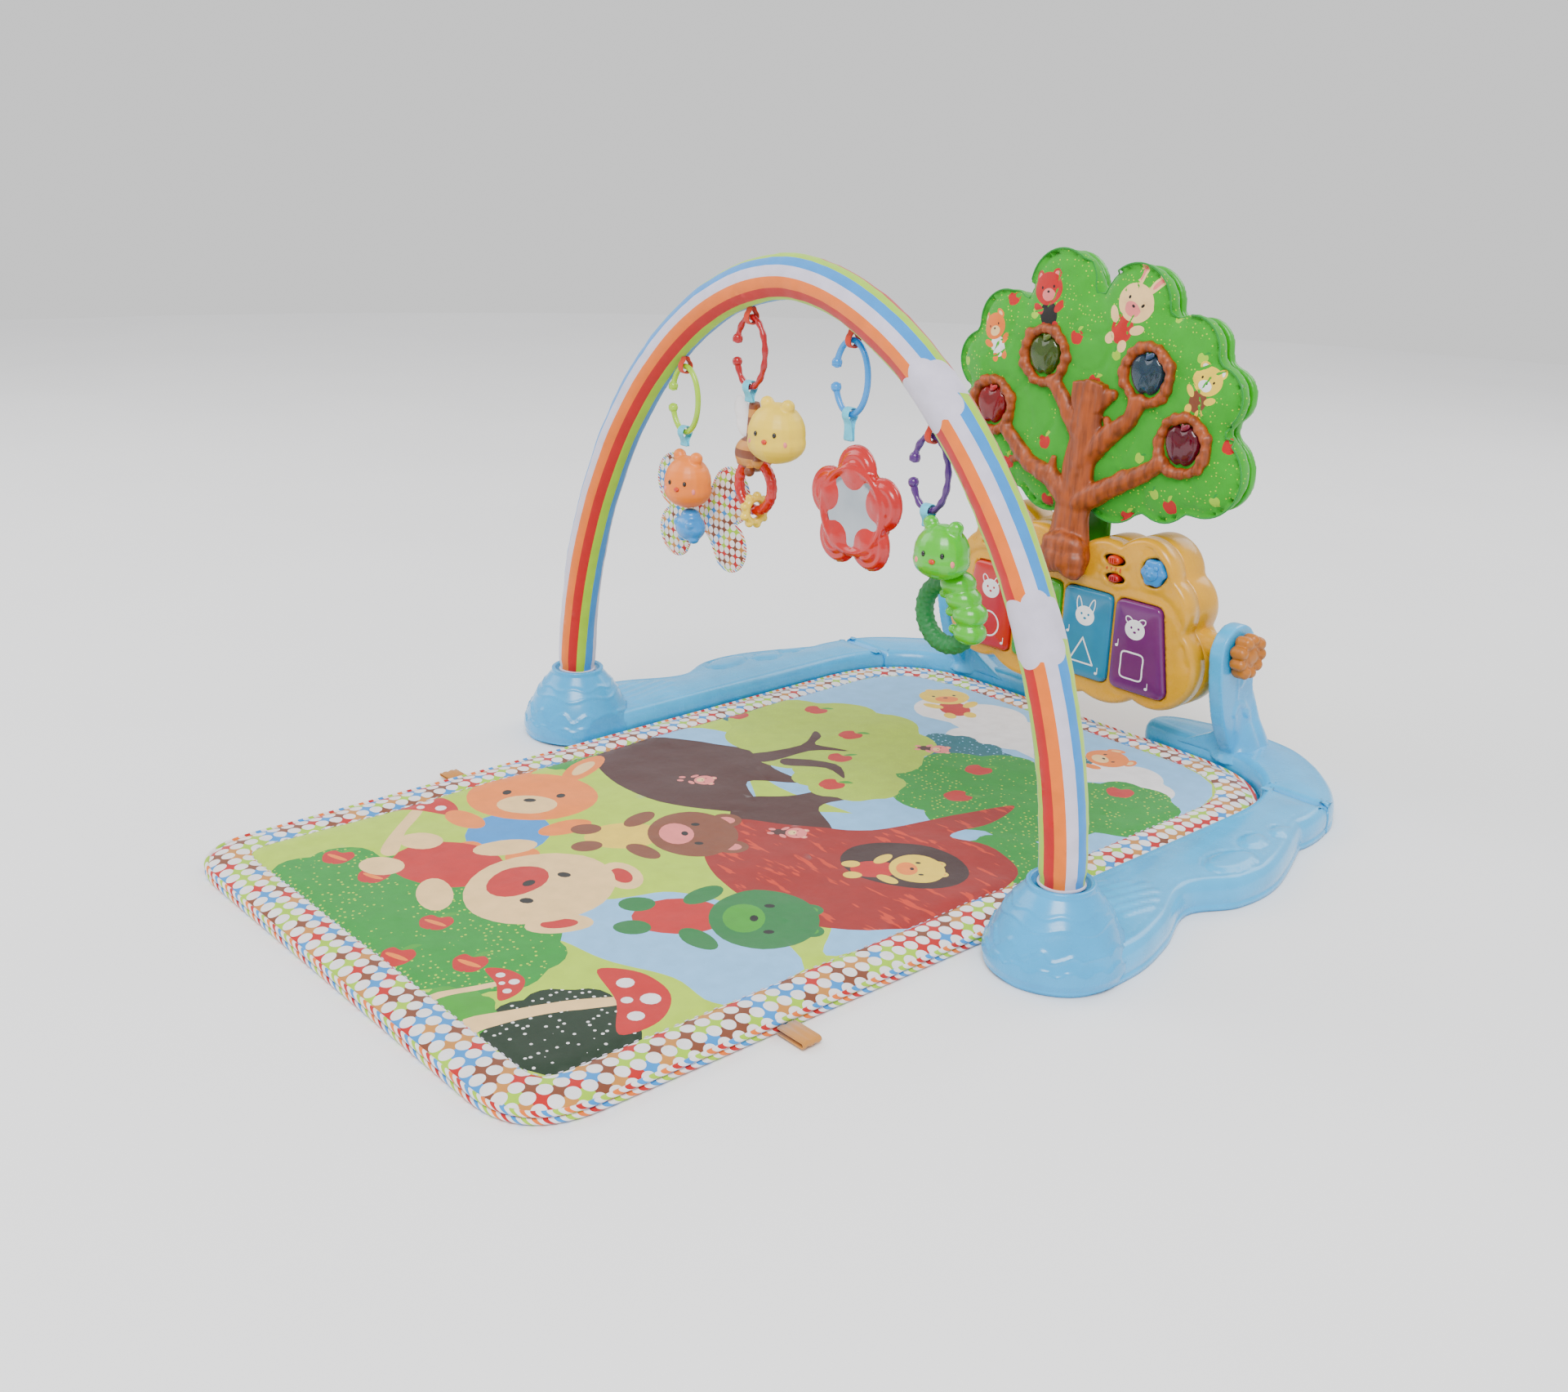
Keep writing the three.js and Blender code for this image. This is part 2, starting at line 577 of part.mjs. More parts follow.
// Buttons and sliders: a cap that stands in a window and a hidden flange behind the wall.
function control(outlineAt, proud, round) {
  const cap = facingFoot(plate(outlineAt(0), proud + WALL + 1.5, round, 1), PIANO_FRONT_Y + WALL + 1.5);
  const flange = facingFoot(plate(outlineAt(KEY_FLANGE), 1.6), PIANO_FRONT_Y + WALL + GAP + 1.6);
  return join(cap, flange);
}

const windowFor = (outline) => facingFoot(plate(outline, WALL + 10), PIANO_FRONT_Y + WALL + 5);

function ovalOutline({ x, z, halfLength, halfHeight }, growX, growZ) {
  return circle(0, 0, 1, 12).map((p) => new THREE.Vector2(
    x + p.x * (halfLength + growX),
    z + p.y * (halfHeight + growZ),
  ));
}

const switchWindow = (spec) => windowFor(ovalOutline(spec, spec.slack + KEY_CLEARANCE, KEY_CLEARANCE));

function slider(spec, proud) {
  const wide = (grow) => ovalOutline(spec, grow * 0.75, grow);
  return control(wide, proud, 1.5);
}

function pianoFront() {
  const outline = pianoOutline();
  const skin = crown(outline, PIANO_SPLIT_Y - PIANO_FRONT_Y, PIANO_ROUND);
  const hollow = crown(inset(outline, WALL), PIANO_SPLIT_Y - PIANO_FRONT_Y - WALL, PIANO_ROUND - WALL);
  const shell = facingFoot(cut(skin, hollow.translate(0, 0, -GAP)), PIANO_SPLIT_Y - GAP / 2);
  const keyWindows = KEYS.map((key) => windowFor(keyOutline(key, KEY_CLEARANCE)));
  const { x, z, radius } = MUSIC_BUTTON;
  const grille = [-12, -4, 4, 12].map((dz) => box(-x - 14, PIANO_FRONT_Y - 5, z + dz - 1.5,
    -x + 14, PIANO_FRONT_Y + 5, z + dz + 1.5));
  return cut(shell, ...keyWindows, windowFor(circle(x, z, radius + KEY_CLEARANCE, 14)),
    switchWindow(VOLUME_SWITCH), switchWindow(MODE_SWITCH), ...grille);
}

function pianoRear() {
  const outline = pianoOutline();
  const depth = PIANO_REAR_Y - PIANO_SPLIT_Y;
  const skin = crown(outline, depth, PIANO_ROUND);
  const hollow = crown(inset(outline, WALL), depth - WALL, PIANO_ROUND - WALL).translate(0, 0, -GAP);
  const shell = facingHead(cut(skin, hollow), PIANO_SPLIT_Y + GAP / 2);
  const reach = POST_INNER_X + POST_THICKNESS / 2;
  const trunnions = [-reach, 140].map((x) => rod('x', x, PIVOT_Y, PIVOT_Z, TRUNNION_RADIUS, reach - 140));
  const bay = box(-BATTERY_BAY.halfWidth, PIANO_REAR_Y - 6, BATTERY_BAY.bottom,
    BATTERY_BAY.halfWidth, PIANO_REAR_Y + 2, BATTERY_BAY.top);
  const slotHalf = TONGUE.halfWidth + 1;
  const tongueSlot = box(-slotHalf, TONGUE.y1 - 1, 170, slotHalf, TONGUE.y2 + 1, 230);
  return cut(join(shell, ...trunnions), bay, tongueSlot);
}

function batteryDoor() {
  const { halfWidth, bottom, top } = BATTERY_BAY;
  const half = halfWidth - GAP;
  const lid = box(-half, PIANO_REAR_Y - WALL, bottom + GAP, half, PIANO_REAR_Y, top - GAP);
  return cut(lid, rod('y', 0, PIANO_REAR_Y - 5, top - 9, 3.4, 10, 10));
}

function batteryDoorScrew() {
  const { top } = BATTERY_BAY;
  const head = rod('y', 0, PIANO_REAR_Y - 2.2, top - 9, 2.9, 2.6, 10);
  const shank = rod('y', 0, PIANO_REAR_Y - 12, top - 9, 1.6, 10, 8);
  return join(head, shank);
}

function pivotKnob() {
  const lobes = circle(0, 0, KNOB_RADIUS * 0.72, 8).map((p) => [p.x, p.y, KNOB_RADIUS * 0.28]);
  const face = cloud([0, 0], [...lobes, [0, 0, KNOB_RADIUS * 0.88]], 24);
  const outerX = POST_INNER_X + POST_THICKNESS + GAP;
  const grip = sideways(plate(face, KNOB_THICKNESS, 3, 1), outerX).translate(0, PIVOT_Y, PIVOT_Z);
  const shaftLength = POST_THICKNESS / 2 - 1;
  const shaftX = outerX - shaftLength;
  return join(grip, rod('x', shaftX, PIVOT_Y, PIVOT_Z, KNOB_SHAFT_RADIUS, shaftLength + 2, 10));
}

// ---------------------------------------------------------------- tree
const TREE_LOBES = [
  [-40, 424, 42], [44, 418, 41], [105, 386, 34], [134, 348, 33], [132, 281, 43], [92, 263, 37],
  [-104, 388, 36], [-130, 350, 33], [-132, 290, 38], [-92, 263, 36],
  [0, 330, 96], [38, 258, 42], [-38, 256, 42],
];
const treeOutline = () => cloud([0, 330], TREE_LOBES, 48);

// A branch that tapers from width w1 at its root to w2 at its tip.
function branch(x1, z1, w1, x2, z2, w2) {
  const along = new THREE.Vector2(x2 - x1, z2 - z1).normalize();
  const across = new THREE.Vector2(-along.y, along.x);
  const corner = (x, z, w) => new THREE.Vector2(x, z).addScaledVector(across, w / 2);
  const outline = [corner(x1, z1, -w1), corner(x2, z2, -w2), corner(x2, z2, w2), corner(x1, z1, w1)];
  return plate(outline, TREE_RELIEF - 4, 2, 1);
}

function treeTrunk() {
  const stem = new THREE.Shape();
  stem.moveTo(-27, 176);
  stem.lineTo(27, 176);
  stem.quadraticCurveTo(17, 215, 18, 260);
  stem.quadraticCurveTo(18, 310, 25, 346);
  stem.lineTo(-7, 346);
  stem.quadraticCurveTo(-10, 310, -17, 270);
  stem.quadraticCurveTo(-20, 215, -27, 176);
  const nests = NESTS.map(({ x, z }) => plate(
    circle(x, z, NEST_RADIUS, 12), TREE_RELIEF - 1, 3, 1, [circle(x, z, LENS_RADIUS + 1, 12)],
  ));
  const limbs = [
    branch(-6, 244, 22, -56, 266, 14),
    branch(-50, 258, 16, -88, 294, 12),
    branch(-4, 318, 20, -38, 342, 13),
    branch(8, 282, 22, 58, 324, 14),
    branch(54, 314, 15, 62, 336, 13),
    branch(10, 244, 22, 92, 290, 13),
  ];
  const stump = circle(0, 0, 1, 12).map((p) => new THREE.Vector2(p.x * 29, 184 + p.y * 19));
  const collar = plate(stump, 24, 5, 1);
  const relief = join(plate(outlineOf(stem, 3), TREE_RELIEF, 4, 1), ...limbs, ...nests);
  const front = facingFoot(relief, TREE_FRONT_Y - GAP);
  const foot = facingFoot(collar, PIANO_FRONT_Y - GAP);
  return cut(join(front, foot), box(-60, PIANO_FRONT_Y - GAP, 150, 60, TREE_FRONT_Y, 210));
}

function treeBackShell() {
  const rearY = TREE_FRONT_Y + TREE_THICKNESS + GAP;
  const outline = inset(treeOutline(), 8).map((p) => new THREE.Vector2(-p.x, p.y)).reverse();
  const panel = facingHead(plate(outline, 6), rearY);
  const tongue = box(-TONGUE.halfWidth, TONGUE.y1, 172, TONGUE.halfWidth, TONGUE.y2 - 0.6, 240);
  return join(panel, tongue);
}

const treeCanopy = () => facingFoot(
  plate(treeOutline(), TREE_THICKNESS, 7, 1),
  TREE_FRONT_Y + TREE_THICKNESS,
);

function appleLens({ x, z }) {
  const dome = ellipsoid(x, TREE_FRONT_Y - GAP, z, LENS_RADIUS, 11, LENS_RADIUS, 12, 6);
  return cut(dome, box(x - 40, TREE_FRONT_Y - GAP, z - 40, x + 40, TREE_FRONT_Y + 40, z + 40));
}

// ---------------------------------------------------------------- assembly
const gym = new THREE.Group();

function add(name, geometry, material, parent = gym) {
  const mesh = new THREE.Mesh(geometry, material);
  mesh.name = name;
  parent.add(mesh);
  return mesh;
}

function addGroup(parent, x, y, z) {
  const group = new THREE.Group();
  group.position.set(x, y, z);
  parent.add(group);
  return group;
}

function addBase() {
  const wing = baseWing();
  const post = baseUpright();
  add('base_right_wing', wing, plastic('sky'));
  add('base_left_wing', mirrored(wing), plastic('sky'));
  add('base_right_upright', post, plastic('sky'));
  add('base_left_upright', mirrored(post), plastic('sky'));
}

function addMat() {
  add('play_mat', playMat(), fabric('mat'));
  add('mat_tab_right', matTab(1, -240), fabric('tan'));
  add('mat_tab_left', matTab(-1, -190), fabric('tan'));
}

function addArch() {
  const tube = archTube();
  add('arch_tube_right', tube, plastic('white'));
  add('arch_tube_left', mirrored(tube), plastic('white'));
  add('arch_joiner', archJoiner(), plastic('white'));
  add('arch_sleeve', archSleeve(), fabric('rainbow'));
}

// Hangs a loop, a link and a ribbon at x, and returns the group at the ribbon's lower end. A toy's
// balance is how far it is moved towards the head end, so that it hangs plumb below its bar.
function hang(number, x, linkColour, ribbonLength, balance) {
  const height = hangHeight(x);
  add(`toy_loop_${number}`, toyLoop(x), fabric('rust'));
  const linkGroup = addGroup(gym, x, ARCH_Y, height);
  add(`link_${number}`, splitLink(), plastic(linkColour), linkGroup);
  const ribbonGroup = addGroup(linkGroup, 0, 0, -2 * LINK_HALF_HEIGHT);
  add(`ribbon_${number}`, hangingRibbon(ribbonLength), fabric('ribbon'), ribbonGroup);
  return addGroup(ribbonGroup, 0, balance, -ribbonLength - GAP);
}

function addButterfly() {
  const toy = hang(1, -132, 'lime', 12, -3.9);
  add('butterfly_head', earedHead(21, 23, 12).translate(8, 1, -5), plastic('orange'), toy);
  add('butterfly_belly', ellipsoid(12, 1, -66, 16, 12, 13), plastic('azure'), toy);
  add('butterfly_wings', butterflyWings().translate(-2, 27, -26), fabric('patterned'), toy);
}

function addBee() {
  const toy = hang(2, -50, 'crimson', 12, 3.7);
  const ring = { centre: [5, 0, -66], radius: 20, tube: 4.5 };
  add('bee_head', earedHead(24, 26, 12).translate(38, -8, 8), plastic('yellow'), toy);
  add('bee_body', beeBody(ring.centre, ring.radius, ring.tube), plastic('tan'), toy);
  add('bee_wing', ellipsoid(-20, 6, -10, 11, 3, 14, 8, 4), plastic('white'), toy);
  add('bee_ring', ringAround(...ring.centre, ring.radius, ring.tube), plastic('red'), toy);
  const bead = gearBead(ring.tube + 1.4, 12, 15.5, 9, 9).translate(0, 0, -4.5).rotateY(Math.PI / 2);
  bead.translate(ring.centre[0], 0, ring.centre[2] - ring.radius);
  add('bee_gear_bead', bead, plastic('yellow'), toy);
}

function addFlower() {
  const toy = hang(3, 64, 'azure', 20, 0.4);
  const flower = { radius: 50, mirrorRadius: 29, thickness: 14 };
  const face = addGroup(toy, 10, flower.thickness / 2, -flower.radius);
  face.rotation.set(Math.PI / 2, 0, 0);
  const frame = flowerFrame(flower.radius, flower.mirrorRadius, flower.thickness);
  add('flower_frame', frame, plastic('red'), face);
  add('flower_mirror', flowerMirror(flower.mirrorRadius, flower.thickness), metal('mirror'), face);
}

function addGrub() {
  const toy = hang(4, 148, 'violet', 12, 6.7);
  const ring = { centre: [19, 0, -61], radius: 23, tube: 7.5 };
  const head = earedHead(21, 22, 12).translate(22, -14, 10);
  const headHollow = ellipsoid(22, -14, -12, 22, 20.5, 23, 10, 6);
  const ringHollow = ringAround(...ring.centre, ring.radius, ring.tube + GAP, 16, 7);
  const segments = [[30, -40, 14], [41, -51, 14], [42, -68, 13]];
  const body = segments.map(([x, z, r]) => ellipsoid(x, 0, z, r, r * 1.05, r, 8, 6));
  add('grub_head', head, plastic('green'), toy);
  add('grub_body', cut(join(...body), headHollow, ringHollow), plastic('green'), toy);
  add('teether_ring', ringAround(...ring.centre, ring.radius, ring.tube, 16, 7), plastic('darkGreen'), toy);
}

function addPiano() {
  add('piano_front_shell', pianoFront(), plastic('ochre'));
  add('piano_rear_shell', pianoRear(), plastic('ochre'));
  add('battery_door', batteryDoor(), plastic('ochre'));
  add('battery_door_screw', batteryDoorScrew(), metal('steel'));
  for (const key of KEYS) {
    add(key.name, control((grow) => keyOutline(key, grow), KEY_PROUD, 3), plastic(key.colour));
  }
  const { x, z, radius } = MUSIC_BUTTON;
  add('music_button', control((grow) => circle(x, z, radius + grow, 14), 5, 2), plastic('azure'));
  add('volume_switch', slider(VOLUME_SWITCH, 5), plastic('rust'));
  add('mode_switch', slider(MODE_SWITCH, 4), plastic('crimson'));
  add('circuit_board', box(-96, 343, 72, 96, 344.6, 166), plastic('board'));
  add('speaker', rod('y', -x, 338, z, 13, 8, 12), metal('steel'));
  const knob = pivotKnob();
  add('pivot_knob_right', knob, plastic('wood'));
  add('pivot_knob_left', mirrored(knob), plastic('wood'));
}

function addTree() {
  add('tree_trunk', treeTrunk(), plastic('bark'));
  add('tree_canopy', treeCanopy(), fabric('foliage'));
  add('tree_back_shell', treeBackShell(), plastic('foliage'));
  for (const nest of NESTS) {
    add(nest.name, appleLens(nest), plastic(nest.colour));
  }
}

addBase();
addMat();
addArch();
addButterfly();
addBee();
addFlower();
addGrub();
addPiano();
addTree();

export default gym;
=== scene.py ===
"""Looks of the activity play gym: mat, base, striped arch, hanging toys, toy piano and tree.

Lengths are in millimetres, in the CAD frame, and become metres where a mesh or curve is made.
"""
import json
import math

import bmesh
import bpy
import numpy as np
from mathutils import Matrix, Vector, noise
from mathutils.bvhtree import BVHTree
from mathutils.geometry import delaunay_2d_cdt

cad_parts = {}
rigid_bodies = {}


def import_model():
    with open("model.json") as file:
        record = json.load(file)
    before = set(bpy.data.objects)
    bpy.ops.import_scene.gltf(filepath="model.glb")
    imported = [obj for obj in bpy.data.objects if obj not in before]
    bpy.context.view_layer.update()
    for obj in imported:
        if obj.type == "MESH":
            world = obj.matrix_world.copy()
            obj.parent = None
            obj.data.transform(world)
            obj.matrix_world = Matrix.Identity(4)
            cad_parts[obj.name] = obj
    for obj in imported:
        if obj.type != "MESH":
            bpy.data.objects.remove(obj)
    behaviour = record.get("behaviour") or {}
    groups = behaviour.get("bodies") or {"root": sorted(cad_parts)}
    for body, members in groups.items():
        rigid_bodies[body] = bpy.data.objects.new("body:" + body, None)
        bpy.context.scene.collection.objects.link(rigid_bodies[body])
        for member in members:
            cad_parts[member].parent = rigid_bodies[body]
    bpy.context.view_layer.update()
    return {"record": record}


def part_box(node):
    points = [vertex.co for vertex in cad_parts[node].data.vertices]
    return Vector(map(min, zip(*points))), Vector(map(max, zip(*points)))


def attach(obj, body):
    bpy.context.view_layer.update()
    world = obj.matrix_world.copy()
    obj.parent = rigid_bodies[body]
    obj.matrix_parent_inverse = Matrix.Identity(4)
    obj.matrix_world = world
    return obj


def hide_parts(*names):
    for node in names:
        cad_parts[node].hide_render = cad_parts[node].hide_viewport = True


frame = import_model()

MM = 0.001
DEPTH = 1.6  # how much deeper the colours are than in the palette

# ------------------------------------------------------------------ colours
PALETTE = {
    "sky": "5ccaf2", "sky_dark": "1d6f8c", "ochre": "e8bc08", "bark": "b8702a", "leaf": "57c03c",
    "red": "d3201f", "crimson": "c41a38", "orange": "f29a2e", "lime": "bfe040", "blue": "45aee6",
    "white": "f4f2f3", "lavender": "dfdbe8", "tan": "d8a860", "rust": "dd5a1c", "violet": "7a4597",
    "ribbon": "7cd6ea", "peach": "f7a444", "butter": "f4dc62", "grass": "6fd033", "teether": "169a5c",
    "teal": "17a0bf", "purple": "8f2f8e", "wood": "cf9428", "steel": "b9bcc0", "ink": "1c1716",
    "key_green": "5fb93a", "cream": "f7dcae", "print_green": "35b152", "print_dark": "12522c",
    "print_lime": "cbe350", "print_teal": "1c8f9b", "print_blue": "a9d6f6", "print_brown": "6b2a18",
    "print_rust": "b62c18", "print_hole": "5b1c14", "print_pink": "f3a3a0", "mole": "a06a4a",
    "tree_lime": "c5da5e", "olive": "7c8a3c", "slate": "52708f", "magenta": "a01c56", "dome": "4cc0ea",
}


def linear(name):
    """A palette colour as scene-linear RGBA, deepened a little for the soft studio light."""
    text = PALETTE[name]
    channels = [int(text[i:i + 2], 16) / 255 for i in (0, 2, 4)]
    plain = [c / 12.92 if c <= 0.04045 else ((c + 0.055) / 1.055) ** 2.4 for c in channels]
    return [c ** DEPTH for c in plain] + [1.0]


# ------------------------------------------------------------------ materials
class Look:
    """One Principled material with its helper nodes, in object coordinates in metres."""

    def __init__(self, name, colour, **sockets):
        self.material = bpy.data.materials.new(name)
        self.material.use_nodes = True
        self.tree = self.material.node_tree
        self.shader = self.tree.nodes["Principled BSDF"]
        self.shader.inputs["Base Color"].default_value = linear(colour)
        for socket, value in sockets.items():
            self.shader.inputs[socket.replace("_", " ")].default_value = value
        self.place = self.node("TexCoord").outputs["Object"]
        self.bumps = None

    def node(self, kind, links=(), **values):
        made = self.tree.nodes.new("ShaderNode" + kind)
        for key, value in values.items():
            if hasattr(made, key):
                setattr(made, key, value)
            else:
                made.inputs[key.replace("_", " ")].default_value = value
        for socket, source in dict(links).items():
            self.tree.links.new(source, made.inputs[socket])
        return made

    def stretched(self, scale):
        return self.node("Mapping", {"Vector": self.place}, Scale=scale).outputs["Vector"]

    def noise(self, size, detail=3.0, place=None):
        """Grey noise with features of about this size in millimetres."""
        where = place or self.place
        return self.node("TexNoise", {"Vector": where}, Scale=1 / (size * MM),
                         Detail=detail).outputs["Fac"]

    def ramp(self, source, stops, interpolation="LINEAR"):
        made = self.node("ValToRGB", {"Fac": source})
        made.color_ramp.interpolation = interpolation
        while len(made.color_ramp.elements) < len(stops):
            made.color_ramp.elements.new(0.5)
        for element, (position, colour) in zip(made.color_ramp.elements, stops):
            element.position = position
            element.color = colour
        return made.outputs["Color"]

    def mix(self, factor, first, second, blend="MIX"):
        made = self.node("Mix", data_type="RGBA", blend_type=blend)
        for index, value in ((0, factor), (6, first), (7, second)):
            if isinstance(value, (float, list)):
                made.inputs[index].default_value = value
            else:
                self.tree.links.new(value, made.inputs[index])
        return made.outputs[2]

    def maths(self, operation, first, second=0.0):
        made = self.node("Math", operation=operation)
        for index, value in ((0, first), (1, second)):
            if isinstance(value, float):
                made.inputs[index].default_value = value
            else:
                self.tree.links.new(value, made.inputs[index])
        return made.outputs[0]

    def colour(self, source):
        self.tree.links.new(source, self.shader.inputs["Base Color"])

    def roughness(self, source, low, high):
        spread = self.node("MapRange", {"Value": source}, To_Min=low, To_Max=high)
        self.tree.links.new(spread.outputs[0], self.shader.inputs["Roughness"])

    def bump(self, source, depth, strength=1.0):
        """Adds a bump of this depth in millimetres on top of the earlier ones."""
        made = self.node("Bump", {"Height": source}, Strength=strength, Distance=depth * MM)
        if self.bumps:
            self.tree.links.new(self.bumps, made.inputs["Normal"])
        self.bumps = made.outputs["Normal"]
        self.tree.links.new(self.bumps, self.shader.inputs["Normal"])


def tinted(name, factor):
    """The palette colour, darker (factor below 1) or lighter (above 1)."""
    return [min(1.0, c * factor) for c in linear(name)[:3]] + [1.0]


def moulded(name, colour, rough=0.28, coat=0.25, grain=0.02):
    """Moulded toy plastic: faint mottling, a soft orange-peel surface and uneven polish."""
    look = Look(name, colour, Coat_Weight=coat, Coat_Roughness=0.15)
    mottle = look.noise(26)
    look.colour(look.ramp(mottle, [(0.3, tinted(colour, 0.9)), (0.7, tinted(colour, 1.06))]))
    look.roughness(look.noise(9), rough - 0.06, rough + 0.1)
    look.bump(look.noise(1.6, 2.0), grain)
    return look.material


def vinyl(name, colour):
    """Soft vinyl: duller than moulded plastic."""
    return moulded(name, colour, rough=0.42, coat=0.08, grain=0.03)


def weave(look, colour, source=None):
    """Adds threads, uneven dye and pile to a fabric look; source overrides the plain colour."""
    threads = look.node("TexVoronoi", {"Vector": look.place}, distance="CHEBYCHEV",
                        Scale=1 / (0.9 * MM), Randomness=0.15).outputs["Distance"]
    dye = look.ramp(look.noise(14), [(0.3, [0.88, 0.88, 0.88, 1.0]), (0.7, [1.0, 1.0, 1.0, 1.0])])
    look.colour(look.mix(1.0, source or linear(colour), dye, "MULTIPLY"))
    look.roughness(look.noise(5), 0.78, 0.95)
    look.bump(look.noise(11, 2.0), 0.5, 0.35)
    look.bump(threads, 0.12, 0.5)


def woven(name, colour):
    """Plain woven cloth."""
    look = Look(name, colour, Sheen_Weight=0.25, Sheen_Roughness=0.5)
    weave(look, colour)
    return look.material


def dotted(name, ground, dot, pitch, radius=0.28):
    """Cloth printed with small, slightly scattered dots."""
    look = Look(name, ground, Sheen_Weight=0.2, Sheen_Roughness=0.5)
    cells = look.node("TexVoronoi", {"Vector": look.place}, Scale=1 / (pitch * MM), Randomness=0.55)
    spot = look.maths("LESS_THAN", cells.outputs["Distance"], radius)
    weave(look, ground, look.mix(spot, linear(ground), linear(dot)))
    return look.material


def hatched(name, ground, stroke, direction):
    """Cloth printed with short brush strokes that run in one direction."""
    look = Look(name, ground, Sheen_Weight=0.2, Sheen_Roughness=0.5)
    strokes = look.noise(9, 2.0, look.stretched(direction))
    line = look.ramp(strokes, [(0.60, [0, 0, 0, 1]), (0.64, [1, 1, 1, 1])])
    weave(look, ground, look.mix(line, linear(ground), linear(stroke)))
    return look.material


def starry(name, axes, pitch=11.0):
    """White cloth printed with four-pointed stars, each in one of five colours."""
    look = Look(name, "white", Sheen_Weight=0.2, Sheen_Roughness=0.5)
    split = look.node("SeparateXYZ", {"Vector": look.place}).outputs
    across = look.maths("ADD", split["X"], split["Y"]) if axes == "side" else split[axes[0]]
    flat = look.node("CombineXYZ",
                     {"X": across, "Y": split["Z" if axes == "side" else axes[1]]}).outputs[0]
    cell = look.node("VectorMath", {0: flat}, operation="SCALE", Scale=1 / (pitch * MM)).outputs[0]
    corner = look.node("VectorMath", {0: cell}, operation="FRACTION").outputs[0]
    centred = look.node("VectorMath", {0: corner}, operation="SUBTRACT")
    centred.inputs[1].default_value = (0.5, 0.5, 0.0)
    bent = look.node("VectorMath", {0: centred.outputs[0]}, operation="ABSOLUTE").outputs[0]
    away = look.node("VectorMath", {0: bent}, operation="DISTANCE")
    away.inputs[1].default_value = (0.5, 0.5, 0.0)
    star = look.maths("GREATER_THAN", away.outputs["Value"], 0.425)
    whole = look.node("VectorMath", {0: cell}, operation="FLOOR").outputs[0]
    pick = look.node("TexWhiteNoise", {"Vector": whole}, noise_dimensions="2D").outputs["Value"]
    stops = [(i / 5, linear(c)) for i, c in enumerate(("red", "blue", "tan", "mole", "lime"))]
    weave(look, "white", look.mix(star, linear("white"), look.ramp(pick, stops, "CONSTANT")))
    return look.material


def striped_cord(name, pitch=9.0):
    """Candy-striped piping: slanting bands of several colours."""
    look = Look(name, "white", Sheen_Weight=0.2, Sheen_Roughness=0.5)
    slant = look.node("VectorMath", {0: look.place}, operation="DOT_PRODUCT")
    slant.inputs[1].default_value = (1 / (pitch * MM), 1 / (pitch * MM), 2 / (pitch * MM))
    turn = look.maths("FRACT", look.maths("MULTIPLY", slant.outputs["Value"], 0.25))
    names = ("red", "white", "blue", "white", "lime", "white", "orange", "white")
    stops = [(i / 8, linear(c)) for i, c in enumerate(names)]
    weave(look, "white", look.ramp(turn, stops, "CONSTANT"))
    return look.material


def barked(name):
    """Moulded bark: long grooves, with painted shade in their depths and painted light on their ridges.
    """
    look = Look(name, "bark", Coat_Weight=0.12, Coat_Roughness=0.3)
    grooves = look.noise(5, 3.0, look.stretched((1.0, 1.0, 0.12)))
    # painted shade in the grooves and painted light on the ridges, from the groove noise that also
    # drives the bump
    painted_groove_shade = look.ramp(grooves, [(0.35, tinted("bark", 0.6)), (0.6, tinted("bark", 1.15))])
    look.colour(painted_groove_shade)
    look.roughness(look.noise(8), 0.38, 0.58)
    look.bump(grooves, 0.8, 0.6)
    return look.material


def glassy(name, colour):
    """A tinted translucent plastic lens."""
    look = Look(name, colour, Transmission_Weight=0.75, IOR=1.45, Coat_Weight=0.3, Coat_Roughness=0.08)
    look.colour(look.ramp(look.noise(12), [(0.3, tinted(colour, 1.3)), (0.7, tinted(colour, 1.9))]))
    look.roughness(look.noise(6), 0.05, 0.16)
    return look.material


def polished(name):
    """Polished steel."""
    look = Look(name, "white", Metallic=1.0)
    look.colour(look.ramp(look.noise(40), [(0.3, [0.34, 0.38, 0.42, 1]), (0.7, [0.46, 0.50, 0.53, 1])]))
    look.roughness(look.noise(18), 0.04, 0.09)
    look.bump(look.noise(30, 1.0), 0.25, 0.3)
    return look.material


# ------------------------------------------------------------------ outlines, as lists of (x, y)
def around(count):
    """Angles at an even spacing round a whole turn, in radians."""
    return np.linspace(0, 2 * math.pi, count, endpoint=False)


def ellipse(x, y, rx, ry=None, turn=0.0, count=26):
    """A circle, or an ellipse turned by an angle in degrees."""
    ry = ry or rx
    c, s = math.cos(math.radians(turn)), math.sin(math.radians(turn))
    steps = [(rx * math.cos(a), ry * math.sin(a)) for a in around(count)]
    return [(x + u * c - v * s, y + u * s + v * c) for u, v in steps]


def curve_point(a, b, c, d, t):
    """The point a share t of the way from b to c, on a smooth curve through all four."""
    p = 0.5 * (2 * b + (c - a) * t + (2 * a - 5 * b + 4 * c - d) * t * t
               + (3 * b - a - 3 * c + d) * t ** 3)
    return (p.x, p.y)


def blob(*points, steps=6):
    """A smooth closed curve through the points."""
    ring = [Vector(p) for p in points]
    count = len(ring)
    return [curve_point(*(ring[(i + k) % count] for k in (-1, 0, 1, 2)), step / steps)
            for i in range(count) for step in range(steps)]


def spline(points, steps=8):
    """A smooth open curve through the points."""
    ring = [Vector(p) for p in [points[0], *points, points[-1]]]
    return [curve_point(*four, step / steps) for four in zip(ring, ring[1:], ring[2:], ring[3:])
            for step in range(steps)] + [tuple(points[-1])]


